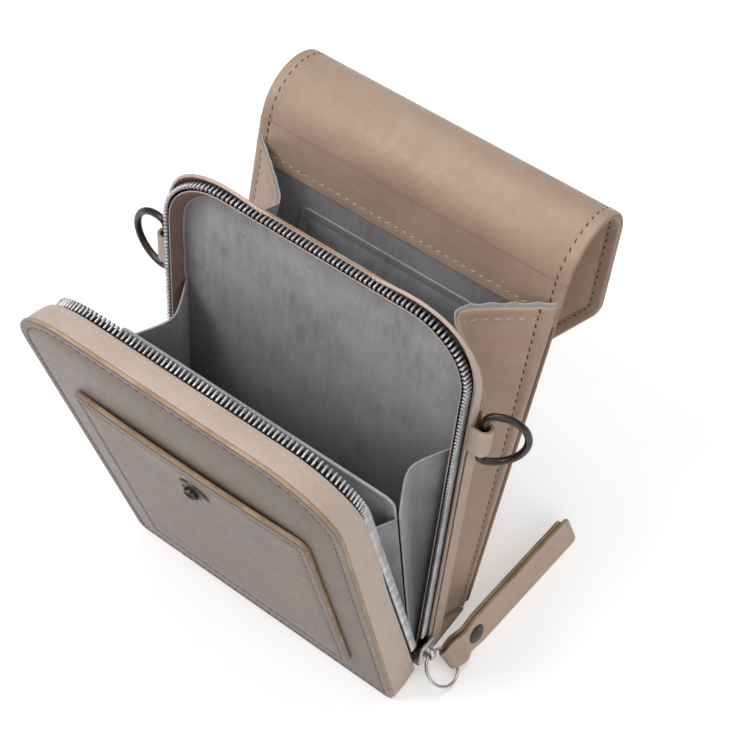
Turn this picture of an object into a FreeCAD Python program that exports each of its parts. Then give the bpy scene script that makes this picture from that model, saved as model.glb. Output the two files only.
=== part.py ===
import FreeCAD, Part
import math
import os

import Sketcher

# Phone pouch in soft leather: a zip-round wallet in front, a phone pocket behind it and a flap
# that rises from the back panel. Millimetres and degrees; +Z up, +Y to the back, and the origin
# on the standing surface under the middle of the base.

doc = FreeCAD.newDocument("PhonePouch")
sheet = doc.addObject("Spreadsheet::Sheet", "Sizes")


class Size:
    """A length, angle or count together with the sheet formula that drives it."""

    def __init__(self, value, formula):
        self.value = float(value)
        self.formula = formula

    def __add__(self, other):
        other = as_size(other)
        return Size(self.value + other.value, f"({self.formula} + {other.formula})")

    def __sub__(self, other):
        other = as_size(other)
        return Size(self.value - other.value, f"({self.formula} - {other.formula})")

    def __mul__(self, other):
        other = as_size(other)
        return Size(self.value * other.value, f"({self.formula} * {other.formula})")

    def __truediv__(self, other):
        other = as_size(other)
        return Size(self.value / other.value, f"({self.formula} / {other.formula})")

    def __neg__(self):
        return Size(-self.value, f"(0 - {self.formula})")


def as_size(number):
    """A Size as it is, or a plain count wrapped as one."""
    return number if isinstance(number, Size) else Size(number, repr(float(number)))


def sin(angle):
    return Size(math.sin(math.radians(angle.value)), f"sin({angle.formula})")


def cos(angle):
    return Size(math.cos(math.radians(angle.value)), f"cos({angle.formula})")


def tan(angle):
    return Size(math.tan(math.radians(angle.value)), f"tan({angle.formula})")


def size(alias, number):
    """Writes one driving dimension to the sheet and returns it."""
    row = size.row
    size.row += 1
    sheet.set(f"A{row}", alias)
    sheet.set(f"B{row}", str(number))
    sheet.setAlias(f"B{row}", alias)
    return Size(number, f"Sizes.{alias}")


size.row = 1
ZERO = Size(0, "0")
FLAT_TOLERANCE = 0.001

# Whole pouch
half_width = size("half_width", 57.5)
corner_radius = size("corner_radius", 24)
foot_radius = size("foot_radius", 4)
fit_gap = size("fit_gap", 0.3)
seam_gap = size("seam_gap", 0.1)
cut_overrun = size("cut_overrun", 2)

# Materials by thickness
leather = size("leather", 1.6)
strip_leather = size("strip_leather", 1.2)
flap_leather = size("flap_leather", 1.2)
lining = size("lining", 0.6)
gusset_sheet = size("gusset_sheet", 1.2)
bellows_sheet = size("bellows_sheet", 0.8)

# Spine of the wallet, on which the front opens
spine_y = size("spine_y", -12)
spine_z = size("spine_z", 3.6)
front_lean = size("front_lean", 11.8)
mid_lean = size("mid_lean", 6.3)
divider_lean = size("divider_lean", 5.3)

# Front tray
front_height = size("front_height", 172)
front_depth = size("front_depth", 16.5)
front_wedge = size("front_wedge", 1.83)
front_foot = size("front_foot", 0.4)
edge_reveal = size("edge_reveal", 0.5)
floor_leather = size("floor_leather", 1.4)

# Patch pocket and its snap
patch_margin = size("patch_margin", 14)
patch_half_width = half_width - patch_margin
patch_bottom = size("patch_bottom", 22)
patch_top = size("patch_top", 132)
patch_corner = size("patch_corner", 3)
patch_thickness = size("patch_thickness", 2.2)
patch_slit = size("patch_slit", 0.8)
patch_seam = size("patch_seam", 5)
snap_height = size("snap_height", 116)
snap_radius = size("snap_radius", 5)
snap_flange = size("snap_flange", 0.9)
snap_neck_radius = size("snap_neck_radius", 2)
snap_neck = size("snap_neck", 1.6)
socket_depth = size("socket_depth", 1.4)
socket_play = size("socket_play", 1)
snap_post_radius = size("snap_post_radius", 3.6)
snap_post_thickness = size("snap_post_thickness", 0.6)

# Zip
chain_drop = size("chain_drop", 6)
chain_height = front_height - chain_drop
tape_thickness = size("tape_thickness", 0.8)
tape_edge = size("tape_edge", 2.6)
tape_reach = size("tape_reach", 6.5)
strip_stop = size("strip_stop", 3)
tooth_pitch = size("tooth_pitch", 1.6)
tooth_root_width = size("tooth_root_width", 0.6)
tooth_head_width = size("tooth_head_width", 0.55)
tooth_tip_width = size("tooth_tip_width", 0.35)
tooth_reach = size("tooth_reach", 0.9)
tooth_thickness = size("tooth_thickness", 1.5)
chain_start = size("chain_start", 12)

# Slider, jump ring and pull strap
slider_wing = size("slider_wing", 1.4)
slider_half_width = size("slider_half_width", 4.2)
slider_tail_half_width = size("slider_tail_half_width", 3)
slider_bottom = size("slider_bottom", 0.4)
slider_length = size("slider_length", 11)
bail_rise = size("bail_rise", 3.4)
bail_place = size("bail_place", 6)
bail_wall = size("bail_wall", 1.1)
bail_length = size("bail_length", 4.6)
bail_half_width = size("bail_half_width", 1.5)
jump_radius = size("jump_radius", 6.5)
jump_wire = size("jump_wire", 1.2)
jump_droop = size("jump_droop", 35)
pull_inset = size("pull_inset", 0.5)
pull_length = size("pull_length", 68)
pull_half_width = size("pull_half_width", 7)
pull_neck_half_width = size("pull_neck_half_width", 3.2)
pull_taper = size("pull_taper", 14)
pull_point = size("pull_point", 6)
pull_thickness = size("pull_thickness", 3.4)
pull_tunnel = size("pull_tunnel", 3.4)
pull_fold_wall = size("pull_fold_wall", 1.4)
pull_toe = size("pull_toe", 2.5)
rivet_place = size("rivet_place", 9)
rivet_shank = size("rivet_shank", 1.6)
rivet_head = size("rivet_head", 3.8)
rivet_crown = size("rivet_crown", 0.9)

# Middle tray
mid_drop = size("mid_drop", 13)
mid_height = front_height - mid_drop
mid_depth = size("mid_depth", 7.5)
mid_leather = size("mid_leather", 1.2)
tab_place = size("tab_place", 122)
tab_setback = size("tab_setback", 5.8)
tab_half_depth = size("tab_half_depth", 2.9)
tab_length = size("tab_length", 11)
ring_wire = size("ring_wire", 3)
ring_radius = size("ring_radius", 10.5)
ring_bar_swell = size("ring_bar_swell", 0.08)
ring_leg = size("ring_leg", 3)
ring_standoff = size("ring_standoff", 3.4)
ring_right_angle = size("ring_right_angle", 32)
ring_left_angle = size("ring_left_angle", 6)

# Card divider and bellows
divider_height = size("divider_height", 120)
divider_sheet = size("divider_sheet", 1.2)
divider_set = size("divider_set", 1)
divider_corner = size("divider_corner", 4)
bellows_low = size("bellows_low", 10)
bellows_high = size("bellows_high", 114)
bellows_fold_low = size("bellows_fold_low", 1.5)
bellows_fold_front = size("bellows_fold_front", 5)
bellows_fold_rear = size("bellows_fold_rear", 7)
bellows_set = size("bellows_set", 1.5)

# Base
base_front = size("base_front", 2)
base_rear = size("base_rear", 0.5)
base_edge = size("base_edge", 1.6)

# Phone pocket and back panel
back_y = size("back_y", 14)
back_z = size("back_z", 1.8)
back_lean = size("back_lean", 15.3)
back_foot = size("back_foot", 0.4)
facing_start = size("facing_start", 134)
lining_start = size("lining_start", 4)
slip_margin = size("slip_margin", 20.5)
slip_half_width = half_width - slip_margin
slip_bottom = size("slip_bottom", 62)
slip_top = size("slip_top", 126)
gusset_low = size("gusset_low", 7)
gusset_high = size("gusset_high", 139)
gusset_fold_low = size("gusset_fold_low", 4)
gusset_fold_high = size("gusset_fold_high", 22)

# Flap: five bending lines, three bands for the curl and one over the front edge
curl_start = size("curl_start", 156)
curl_angle = size("curl_angle", 42.5)
curl_band = size("curl_band", 12)
top_run = size("top_run", 15)
front_band = size("front_band", 9)
lip_length = size("lip_length", 87)
lip_straight = size("lip_straight", 18)
lip_tip_half_width = size("lip_tip_half_width", 17)
lip_shoulder_radius = size("lip_shoulder_radius", 14)
lip_tip_radius = size("lip_tip_radius", 15)
bend_gap = size("bend_gap", 0.15)
bend_bevel = size("bend_bevel", 0.8)
snap_from_tip = size("snap_from_tip", 25.5)
cap_radius = size("cap_radius", 6)
cap_rim = size("cap_rim", 0.7)
cap_crown = size("cap_crown", 0.9)

doc.recompute()


# Frames: each is a placement formula, turned about X and then, where needed, moved within itself
class Frame:
    """A place and a turn about X that a sub-part is modelled in."""

    def __init__(self, y, z, turn):
        self.y = y
        self.z = z
        self.turn = turn

    def formula(self):
        base = f"vector(0; {self.y.formula}; {self.z.formula})"
        return f"placement({base}; rotation(vector(1; 0; 0); {self.turn.formula}))"

    def moved(self, y, z, turn):
        """The frame at a point of this one, turned further about X."""
        new_y = self.y + y * cos(self.turn) - z * sin(self.turn)
        new_z = self.z + y * sin(self.turn) + z * cos(self.turn)
        return Frame(new_y, new_z, self.turn + turn)


FLOOR = Frame(ZERO, ZERO, ZERO)
MID = Frame(spine_y, spine_z, -mid_lean)
FRONT = Frame(spine_y, spine_z, front_lean)
FACE = FRONT.moved(-front_depth, ZERO, -front_wedge)
DIVIDER = Frame(spine_y, spine_z, divider_lean)
BACK = Frame(back_y, back_z, -back_lean)


# Drawing helpers
def new_body(label, frame, shift=""):
    """A body with its own label, placed by its frame's formula."""
    body = doc.addObject("PartDesign::Body", label)
    body.Label = label
    body.setExpression("Placement", frame.formula() + shift)
    return body


def new_sketch(body, name, plane, offset=ZERO, tilt=ZERO):
    """A sketch on one of the body's own origin planes, moved along and turned about its axes."""
    sketch = body.newObject("Sketcher::SketchObject", f"{body.Name}_{name}")
    support = [item for item in body.Origin.OriginFeatures if item.Role == plane]
    sketch.AttachmentSupport = [(support[0], "")]
    sketch.MapMode = "FlatFace"
    turn = f"rotation(vector(1; 0; 0); {tilt.formula})"
    sketch.setExpression("AttachmentOffset", f"placement(vector(0; 0; {offset.formula}); {turn})")
    return sketch


def bind_point(sketch, edge, u, v):
    """Ties the start of an edge to its place from the sketch's origin."""
    for kind, place in (("DistanceX", u), ("DistanceY", v)):
        index = sketch.addConstraint(Sketcher.Constraint(kind, -1, 1, edge, 1, place.value))
        sketch.setExpression(f"Constraints[{index}]", place.formula)


def polygon(sketch, points):
    """A closed outline of straight edges through the points."""
    count = len(points)
    for index, (u, v) in enumerate(points):
        end_u, end_v = points[(index + 1) % count]
        start = FreeCAD.Vector(u.value, v.value, 0)
        sketch.addGeometry(Part.LineSegment(start, FreeCAD.Vector(end_u.value, end_v.value, 0)))
    for index in range(count):
        sketch.addConstraint(Sketcher.Constraint("Coincident", index, 2, (index + 1) % count, 1))
    for index, (u, v) in enumerate(points):
        bind_point(sketch, index, u, v)
    return sketch


def arched(sketch, half, bottom, top, radius):
    """A panel outline: square at the foot, with both top corners rounded."""
    points = [(-half, bottom), (half, bottom), (half, top - radius), (half - radius, top),
              (radius - half, top), (-half, top - radius)]
    flat = [FreeCAD.Vector(u.value, v.value, 0) for u, v in points]
    turn = radius.value * math.sqrt(0.5)
    middles = {2: FreeCAD.Vector(half.value - radius.value + turn, top.value - radius.value + turn, 0),
               4: FreeCAD.Vector(radius.value - half.value - turn, top.value - radius.value + turn, 0)}
    for index, start in enumerate(flat):
        end = flat[(index + 1) % len(flat)]
        if index in middles:
            sketch.addGeometry(Part.Arc(start, middles[index], end))
        else:
            sketch.addGeometry(Part.LineSegment(start, end))
    for index in range(len(flat)):
        sketch.addConstraint(Sketcher.Constraint("Coincident", index, 2, (index + 1) % len(flat), 1))
    for index, (u, v) in enumerate(points):
        bind_point(sketch, index, u, v)
    for index in middles:
        number = sketch.addConstraint(Sketcher.Constraint("Radius", index, radius.value))
        sketch.setExpression(f"Constraints[{number}]", radius.formula)
    return sketch


def circle(sketch, u, v, radius):
    """A circle tied by its centre and its radius."""
    centre = FreeCAD.Vector(u.value, v.value, 0)
    index = sketch.addGeometry(Part.Circle(centre, FreeCAD.Vector(0, 0, 1), radius.value))
    for kind, place in (("DistanceX", u), ("DistanceY", v)):
        number = sketch.addConstraint(Sketcher.Constraint(kind, -1, 1, index, 3, place.value))
        sketch.setExpression(f"Constraints[{number}]", place.formula)
    number = sketch.addConstraint(Sketcher.Constraint("Radius", index, radius.value))
    sketch.setExpression(f"Constraints[{number}]", radius.formula)
    return sketch


def grow(body, kind, sketch, length, midplane=False, reverse=False):
    """A pad or pocket of a sketch, with its length tied to the sheet."""
    feature = body.newObject(f"PartDesign::{kind}", f"{sketch.Name}_{kind}")
    feature.Profile = sketch
    feature.Midplane = midplane
    feature.Reversed = reverse
    feature.setExpression("Length", length.formula)
    sketch.Visibility = False
    return feature


def loft(body, kind, sketches):
    """A ruled loft from the first sketch to the last, added or cut."""
    feature = body.newObject(f"PartDesign::{kind}", f"{sketches[0].Name}_{kind}")
    feature.Profile = sketches[0]
    feature.Sections = sketches[1:]
    feature.Ruled = True
    return feature


def dress(body, kind, chosen, amount, name):
    """A fillet or chamfer on those edges of the body that the test picks."""
    doc.recompute()
    base = body.Tip
    names = [f"Edge{number}" for number, edge in enumerate(base.Shape.Edges, 1) if chosen(edge)]
    feature = body.newObject(f"PartDesign::{kind}", f"{body.Name}_{name}")
    feature.Base = (base, names)
    feature.setExpression("Radius" if kind == "Fillet" else "Size", amount.formula)
    return feature


def along(edge, axis):
    """Whether a straight edge runs along X (0), Y (1) or Z (2) of its body."""
    if not isinstance(edge.Curve, Part.Line):
        return False
    return abs(abs(edge.Curve.Direction[axis]) - 1) < FLAT_TOLERANCE


def near(first, second):
    return abs(first - second) < FLAT_TOLERANCE


def panel(label, frame, half, bottom, top, radius, front, thickness):
    """An arched sheet that stands in its frame, from its front face to the back."""
    body = new_body(label, frame)
    sketch = arched(new_sketch(body, "outline", "XZ_Plane", -front), half, bottom, top, radius)
    grow(body, "Pad", sketch, thickness, reverse=True)
    return body


def rectangle(sketch, left, right, bottom, top):
    return polygon(sketch, [(left, bottom), (right, bottom), (right, top), (left, top)])


def arch_shell(label, frame, near_end, far_end, wall, bottom):
    """A rim strip: a ruled arch between two outlines, open at the foot.

    Each end is (offset along Y, tilt, half width, top, radius).
    """
    body = new_body(label, frame)
    for kind, inset, name, foot in (("AdditiveLoft", ZERO, "outer", bottom),
                                    ("SubtractiveLoft", wall, "inner", bottom - cut_overrun)):
        sketches = []
        for end, (offset, tilt, half, top, radius) in zip(("near", "far"), (near_end, far_end)):
            sketch = new_sketch(body, f"{name}_{end}", "XZ_Plane", -offset, tilt)
            sketches.append(arched(sketch, half - inset, foot, top - inset, radius - inset))
        loft(body, kind, sketches)
    return body


def lean_line(frame, depth, height):
    """Where a plane of a leaning frame stands at a height above the floor."""
    return frame.y + depth / cos(frame.turn) - (height - frame.z) * tan(frame.turn)


# Front tray
front_panel = panel("front_panel", FACE, half_width, front_foot, front_height, corner_radius,
                    -leather, leather)

strip_half = half_width - edge_reveal
strip_radius = corner_radius - edge_reveal
strip_top = front_height - edge_reveal
rim_top = chain_height + fit_gap
front_top_depth = front_depth * cos(front_wedge) - strip_top * sin(front_wedge)
front_slope = (strip_top - rim_top) / (front_top_depth - strip_stop)
face_end = (-front_depth, -front_wedge, strip_half, strip_top, strip_radius)
front_rim = (-strip_stop, ZERO, strip_half, rim_top, strip_radius)
front_gusset = arch_shell("front_gusset", FRONT, front_rim, face_end, strip_leather, ZERO)

tape_half = strip_half - strip_leather - seam_gap
tape_radius = strip_radius - strip_leather - seam_gap
tape_top = rim_top - strip_leather - seam_gap - fit_gap
tape_foot = floor_leather + fit_gap
front_tape_edge = (-tape_edge, ZERO, tape_half, tape_top, tape_radius)
front_tape_far_top = tape_top + front_slope * (tape_reach - tape_edge)
front_tape_far = (-tape_reach, ZERO, tape_half, front_tape_far_top, tape_radius)
zip_tape_front = arch_shell("zip_tape_front", FRONT, front_tape_edge, front_tape_far,
                            tape_thickness, tape_foot)

inner_half = strip_half - strip_leather - seam_gap
front_base = new_body("front_base", FRONT)
floor_front = new_sketch(front_base, "floor", "YZ_Plane")
rectangle(floor_front, seam_gap - front_depth, -fit_gap, ZERO, floor_leather)
grow(front_base, "Pad", floor_front, inner_half * 2, midplane=True)

lining_half = inner_half - fit_gap
lining_radius = strip_radius - strip_leather - fit_gap
front_lining_top = strip_top - strip_leather - fit_gap - lining * tan(front_lean) - lining
front_lining_foot = floor_leather + fit_gap
front_lining = panel("front_lining", FACE, lining_half, front_lining_foot, front_lining_top, lining_radius,
                     ZERO, lining)

# Patch pocket: sewn at its sides and foot, with a flat slit open at the top
front_pocket = new_body("front_pocket", FACE)
patch = new_sketch(front_pocket, "patch", "XZ_Plane", leather)
rectangle(patch, -patch_half_width, patch_half_width, patch_bottom, patch_top)
grow(front_pocket, "Pad", patch, patch_thickness)
dress(front_pocket, "Fillet", lambda edge: along(edge, 1), patch_corner, "corners")
slit = new_sketch(front_pocket, "slit", "XZ_Plane", leather)
slit_half = patch_half_width - patch_seam
rectangle(slit, -slit_half, slit_half, patch_bottom + patch_seam, patch_top + cut_overrun)
grow(front_pocket, "Pocket", slit, patch_slit, reverse=True)


def turned(label, frame, profile):
    """A small round piece about the frame's Y axis, from (radius, depth) points."""
    body = new_body(label, frame)
    sketch = new_sketch(body, "profile", "XY_Plane")
    polygon(sketch, profile)
    feature = body.newObject("PartDesign::Revolution", f"{label}_Revolution")
    feature.Profile = sketch
    feature.ReferenceAxis = (sketch, ["V_Axis"])
    return body


patch_face = leather + patch_thickness
stud_frame = FACE.moved(-patch_face, snap_height, ZERO)
snap_stud = turned("snap_stud", stud_frame, [
    (ZERO, ZERO), (snap_radius, ZERO), (snap_radius, -snap_flange / 2),
    (snap_radius - snap_flange, -snap_flange), (snap_neck_radius, -snap_flange),
    (snap_neck_radius, -snap_flange - snap_neck), (ZERO, -snap_flange - snap_neck)])
post_frame = FACE.moved(-leather - patch_slit + snap_post_thickness, snap_height, ZERO)
snap_post = turned("snap_post", post_frame, [
    (ZERO, ZERO), (snap_post_radius, ZERO), (snap_post_radius, -snap_post_thickness),
    (ZERO, -snap_post_thickness)])

# Middle tray
mid_rim_depth = mid_depth - strip_stop
mid_slope = (rim_top - mid_height) / mid_rim_depth
mid_rim = (strip_stop, ZERO, strip_half, rim_top, strip_radius)
mid_end = (mid_depth, ZERO, strip_half, mid_height, strip_radius)
mid_gusset = arch_shell("mid_gusset", MID, mid_rim, mid_end, strip_leather, ZERO)
mid_tape_edge = (tape_edge, ZERO, tape_half, tape_top, tape_radius)
mid_tape_far = (tape_reach, ZERO, tape_half, tape_top - mid_slope * (tape_reach - tape_edge), tape_radius)
zip_tape_rear = arch_shell("zip_tape_rear", MID, mid_tape_edge, mid_tape_far, tape_thickness, tape_foot)

mid_panel = panel("mid_panel", MID, strip_half, ZERO, mid_height, strip_radius, mid_depth, mid_leather)
mid_lining_top = mid_height - strip_leather - fit_gap
mid_lining = panel("mid_lining", MID, lining_half, tape_foot, mid_lining_top, lining_radius,
                   mid_depth - lining, lining)
mid_back = mid_depth + mid_leather
phone_lining = panel("phone_lining", MID, lining_half, tape_foot, mid_lining_top, lining_radius,
                     mid_back, lining)
mid_base = new_body("mid_base", MID)
floor_mid = new_sketch(mid_base, "floor", "YZ_Plane")
rectangle(floor_mid, fit_gap, mid_depth - lining, ZERO, floor_leather)
grow(mid_base, "Pad", floor_mid, inner_half * 2, midplane=True)

# Base: one piece of leather and board, flat below, carrying the middle tray on its sloped top
base_strip = new_body("base_strip", FLOOR)
base_side = new_sketch(base_strip, "side", "YZ_Plane")
under_spine = spine_y + fit_gap * cos(mid_lean)
under_mid = spine_y + mid_back * cos(mid_lean)
base_end = back_y - base_rear
polygon(base_side, [
    (spine_y - base_front, ZERO), (base_end, ZERO), (base_end, base_edge),
    (under_mid, spine_z - mid_back * sin(mid_lean)), (under_spine, spine_z - fit_gap * sin(mid_lean)),
    (spine_y - base_front, base_edge)])
grow(base_strip, "Pad", base_side, strip_half * 2, midplane=True)

# Zip teeth: small clasps at a steady pitch round the arch, staggered so that the two rows mesh
chain_half = tape_half - tape_thickness / 2
chain_top = tape_top - tape_thickness / 2
chain_radius = tape_radius - tape_thickness / 2


def chain_point(run):
    """The place and heading of the chain at a run from its right foot, in the plane of the zip."""
    half, top, radius = chain_half.value, chain_top.value, chain_radius.value
    side = top - radius - chain_start.value
    turn = radius * math.pi / 2
    across = 2 * (half - radius)
    if run < side:
        return half, chain_start.value + run, 90.0
    run -= side
    if run < turn:
        angle = run / radius
        return half - radius + radius * math.cos(angle), top - radius + radius * math.sin(angle), \
            90.0 + math.degrees(angle)
    run -= turn
    if run < across:
        return half - radius - run, top, 180.0
    run -= across
    if run < turn:
        angle = math.pi / 2 + run / radius
        return radius - half + radius * math.cos(angle), top - radius + radius * math.sin(angle), \
            90.0 + math.degrees(angle)
    run -= turn
    return -half, top - radius - run, 270.0


def tooth(side):
    """One tooth at the origin: root on the tape's edge, head past the plane of the zip."""
    root, head = tape_edge.value, tooth_reach.value
    shoulder = (tooth_reach - tooth_tip_width / 2).value
    outline = [(tooth_root_width.value, root), (tooth_head_width.value, -shoulder),
               (tooth_tip_width.value, -head)]
    points = [(width / 2, depth * side) for width, depth in outline]
    points += [(-width, depth) for width, depth in reversed(points)]
    floor = -tooth_thickness.value / 2
    wire = Part.makePolygon([FreeCAD.Vector(u, v, floor) for u, v in points + points[:1]])
    return Part.Face(wire).extrude(FreeCAD.Vector(0, 0, tooth_thickness.value))


def teeth_row(label, frame, side, stagger):
    """A row of teeth along the chain; side is +1 behind the plane of the zip and -1 in front."""
    length = 2 * (chain_top - chain_radius - chain_start).value + math.pi * chain_radius.value \
        + 2 * (chain_half - chain_radius).value
    single = tooth(side)
    row = []
    for number in range(int(length / tooth_pitch.value)):
        x, z, heading = chain_point((number + stagger) * tooth_pitch.value)
        piece = single.copy()
        lay_down = FreeCAD.Rotation(FreeCAD.Vector(0, 1, 0), -heading)
        piece.Placement = FreeCAD.Placement(FreeCAD.Vector(x, 0, z), lay_down)
        row.append(piece)
    feature = doc.addObject("Part::Feature", label)
    feature.Label = label
    feature.Shape = Part.makeCompound(row)
    turn = FreeCAD.Rotation(FreeCAD.Vector(1, 0, 0), frame.turn.value)
    feature.Placement = FreeCAD.Placement(FreeCAD.Vector(0, frame.y.value, frame.z.value), turn)
    return feature


FRONT_STAGGER_SHARE = 0.75
REAR_STAGGER_SHARE = 0.25
teeth_row("zip_teeth_front", FRONT, -1, FRONT_STAGGER_SHARE)
teeth_row("zip_teeth_rear", MID, 1, REAR_STAGGER_SHARE)

# Card divider
bellows_side = tape_half - tape_thickness - bellows_set
divider_half_width = bellows_side - bellows_sheet - fit_gap
card_divider = new_body("card_divider", DIVIDER)
card = new_sketch(card_divider, "card", "XZ_Plane", divider_set)
rectangle(card, -divider_half_width, divider_half_width, tape_foot, divider_height)
grow(card_divider, "Pad", card, divider_sheet)
dress(card_divider, "Fillet", lambda edge: along(edge, 1), divider_corner, "corners")


# Folded side pieces: a sheet creased inward along its middle, from a low section to a high one
def folded_side(label, side, outer_x, sheet_thickness, sections):
    """A creased gusset on one side; each section is (height, front y, rear y, fold depth)."""
    body = new_body(label, FLOOR)
    sketches = []
    for name, (height, front, rear, fold) in zip(("low", "high"), sections):
        middle = (front + rear) / 2
        points = [(outer_x, front), (outer_x - fold, middle), (outer_x, rear),
                  (outer_x - sheet_thickness, rear), (outer_x - fold - sheet_thickness, middle),
                  (outer_x - sheet_thickness, front)]
        points = [(u * side, v) for u, v in points]
        sketches.append(polygon(new_sketch(body, name, "XY_Plane", height), points))
    loft(body, "AdditiveLoft", sketches)
    return body


mid_inside = mid_depth - lining - fit_gap
card_rear = fit_gap - divider_set
card_front = -divider_set - divider_sheet - fit_gap
face_inside = lining + fit_gap
phone_front = mid_back + fit_gap
phone_rear = -flap_leather - fit_gap
for side, end in ((1, "right"), (-1, "left")):
    folded_side(f"bellows_rear_{end}", side, bellows_side, bellows_sheet, [
        (height, lean_line(DIVIDER, card_rear, height), lean_line(MID, mid_inside, height), fold)
        for height, fold in ((bellows_low, bellows_fold_low), (bellows_high, bellows_fold_rear))])
    folded_side(f"bellows_front_{end}", side, bellows_side, bellows_sheet, [
        (height, lean_line(FACE, face_inside, height), lean_line(DIVIDER, card_front, height), fold)
        for height, fold in ((bellows_low, bellows_fold_low), (bellows_high, bellows_fold_front))])
    folded_side(f"phone_gusset_{end}", side, strip_half, gusset_sheet, [
        (height, lean_line(MID, phone_front, height), lean_line(BACK, phone_rear, height), fold)
        for height, fold in ((gusset_low, gusset_fold_low), (gusset_high, gusset_fold_high))])

# Strap rings and their leather tabs on the sides of the middle tray
ring_axis = strip_half + ring_standoff
for side, end, swing in ((1, "right", -ring_right_angle), (-1, "left", ring_left_angle)):
    tab = new_body(f"ring_tab_{end}", MID)
    plan = new_sketch(tab, "plan", "XY_Plane", tab_place - tab_length / 2)
    tab_nose = ring_axis + tab_half_depth
    rectangle(plan, strip_half * side, tab_nose * side,
              tab_setback - tab_half_depth, tab_setback + tab_half_depth)
    grow(tab, "Pad", plan, tab_length)
    nose_radius = tab_half_depth - seam_gap
    dress(tab, "Fillet", lambda edge: along(edge, 2) and near(abs(edge.Vertexes[0].X), tab_nose.value),
          nose_radius, "nose")
    bore = new_sketch(tab, "bore", "XY_Plane", tab_place - tab_length / 2 - cut_overrun)
    circle(bore, ring_axis * side, tab_setback, ring_wire / 2 + ring_bar_swell + fit_gap)
    grow(tab, "Pocket", bore, tab_length + cut_overrun * 2, reverse=True)

    pivot = f"vector({(ring_axis * side).formula}; {tab_setback.formula}; {tab_place.formula})"
    facing = as_size(90 - 90 * side) - swing
    ring_turn = f"rotation(vector(0; 0; 1); {facing.formula})"
    ring = new_body(f"d_ring_{end}", MID, f" * placement({pivot}; {ring_turn})")
    bar = new_sketch(ring, "bar", "XY_Plane")
    circle(bar, ZERO, ZERO, ring_wire / 2 + ring_bar_swell)
    grow(ring, "Pad", bar, ring_radius * 2 + ring_wire + ring_bar_swell * 2, midplane=True)
    for name, place in (("upper_leg", ring_radius), ("lower_leg", -ring_radius)):
        leg = new_sketch(ring, name, "YZ_Plane")
        circle(leg, ZERO, place, ring_wire / 2)
        grow(ring, "Pad", leg, ring_leg)
    bow = new_sketch(ring, "bow", "YZ_Plane", ring_leg)
    circle(bow, ZERO, ring_radius, ring_wire / 2)
    sweep = ring.newObject("PartDesign::Revolution", f"d_ring_{end}_Revolution")
    sweep.Profile = bow
    sweep.ReferenceAxis = (bow, ["H_Axis"])
    sweep.Angle = 180

# Slider on the right foot of the zip: a tapered wing outside the strips, with a bail for the ring
slider = new_body("zip_slider", MID)
wing_face = strip_half + fit_gap
wing = new_sketch(slider, "wing", "YZ_Plane", wing_face)
slider_top = slider_bottom + slider_length
polygon(wing, [(-slider_tail_half_width, slider_bottom), (slider_tail_half_width, slider_bottom),
               (slider_half_width, slider_bottom + slider_length / 2), (slider_half_width, slider_top),
               (-slider_half_width, slider_top), (-slider_half_width, slider_bottom + slider_length / 2)])
grow(slider, "Pad", wing, slider_wing)
bail_face = wing_face + slider_wing
bail_foot = bail_place - bail_length / 2
bail = new_sketch(slider, "bail", "XZ_Plane")
bail_top = bail_foot + bail_length
rectangle(bail, bail_face, bail_face + bail_rise, bail_foot, bail_top)
grow(slider, "Pad", bail, bail_half_width * 2, midplane=True)
eye = new_sketch(slider, "eye", "XZ_Plane")
rectangle(eye, bail_face, bail_face + bail_rise - bail_wall, bail_foot + bail_wall, bail_top - bail_wall)
grow(slider, "Pocket", eye, (bail_half_width + cut_overrun) * 2, midplane=True)

# Jump ring through the bail, drooping outward, and the pull strap folded round its rear
eye_x = bail_face + (bail_rise - bail_wall) / 2
eye_place = f"vector({eye_x.formula}; 0; {bail_place.formula})"
jump_shift = f" * placement({eye_place}; rotation(vector(0; 1; 0); {jump_droop.formula}))"
jump_ring = new_body("jump_ring", MID, jump_shift)
wire = new_sketch(jump_ring, "wire", "XZ_Plane")
circle(wire, jump_radius * 2, ZERO, jump_wire / 2)
axis = new_sketch(jump_ring, "axis", "XZ_Plane")
polygon(axis, [(jump_radius, ZERO), (jump_radius, jump_wire), (jump_radius + jump_wire, jump_wire)])
hoop = jump_ring.newObject("PartDesign::Revolution", "jump_ring_Revolution")
hoop.Profile = wire
hoop.ReferenceAxis = (axis, ["Edge1"])

pull_level = mid_lean / cos(jump_droop)
pull_base = f"vector({jump_radius.formula}; {(jump_radius - pull_inset).formula}; 0)"
pull_shift = f"{jump_shift} * placement({pull_base}; rotation(vector(1; 0; 0); {pull_level.formula}))"
pull_strap = new_body("pull_strap", MID, pull_shift)
cut = new_sketch(pull_strap, "cut", "XY_Plane")
polygon(cut, [(-pull_neck_half_width, ZERO), (pull_neck_half_width, ZERO), (pull_half_width, pull_taper),
              (pull_half_width, pull_length), (-pull_half_width, pull_length - pull_point),
              (-pull_half_width, pull_taper)])
grow(pull_strap, "Pad", cut, pull_thickness, midplane=True)
dress(pull_strap, "Fillet", lambda edge: along(edge, 2) and edge.Vertexes[0].Y > pull_taper.value * 2,
      pull_toe, "toes")
fold = new_sketch(pull_strap, "fold", "YZ_Plane")
circle(fold, ZERO, ZERO, pull_tunnel / 2 + pull_fold_wall)
grow(pull_strap, "Pad", fold, pull_neck_half_width * 2, midplane=True)
tunnel = new_sketch(pull_strap, "tunnel", "YZ_Plane")
circle(tunnel, ZERO, ZERO, pull_tunnel / 2)
grow(pull_strap, "Pocket", tunnel, (pull_half_width + cut_overrun) * 2, midplane=True)
rivet_hole = new_sketch(pull_strap, "rivet_hole", "XY_Plane")
circle(rivet_hole, ZERO, rivet_place, rivet_shank + seam_gap)
grow(pull_strap, "Pocket", rivet_hole, (pull_thickness + cut_overrun) * 2, midplane=True)

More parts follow.
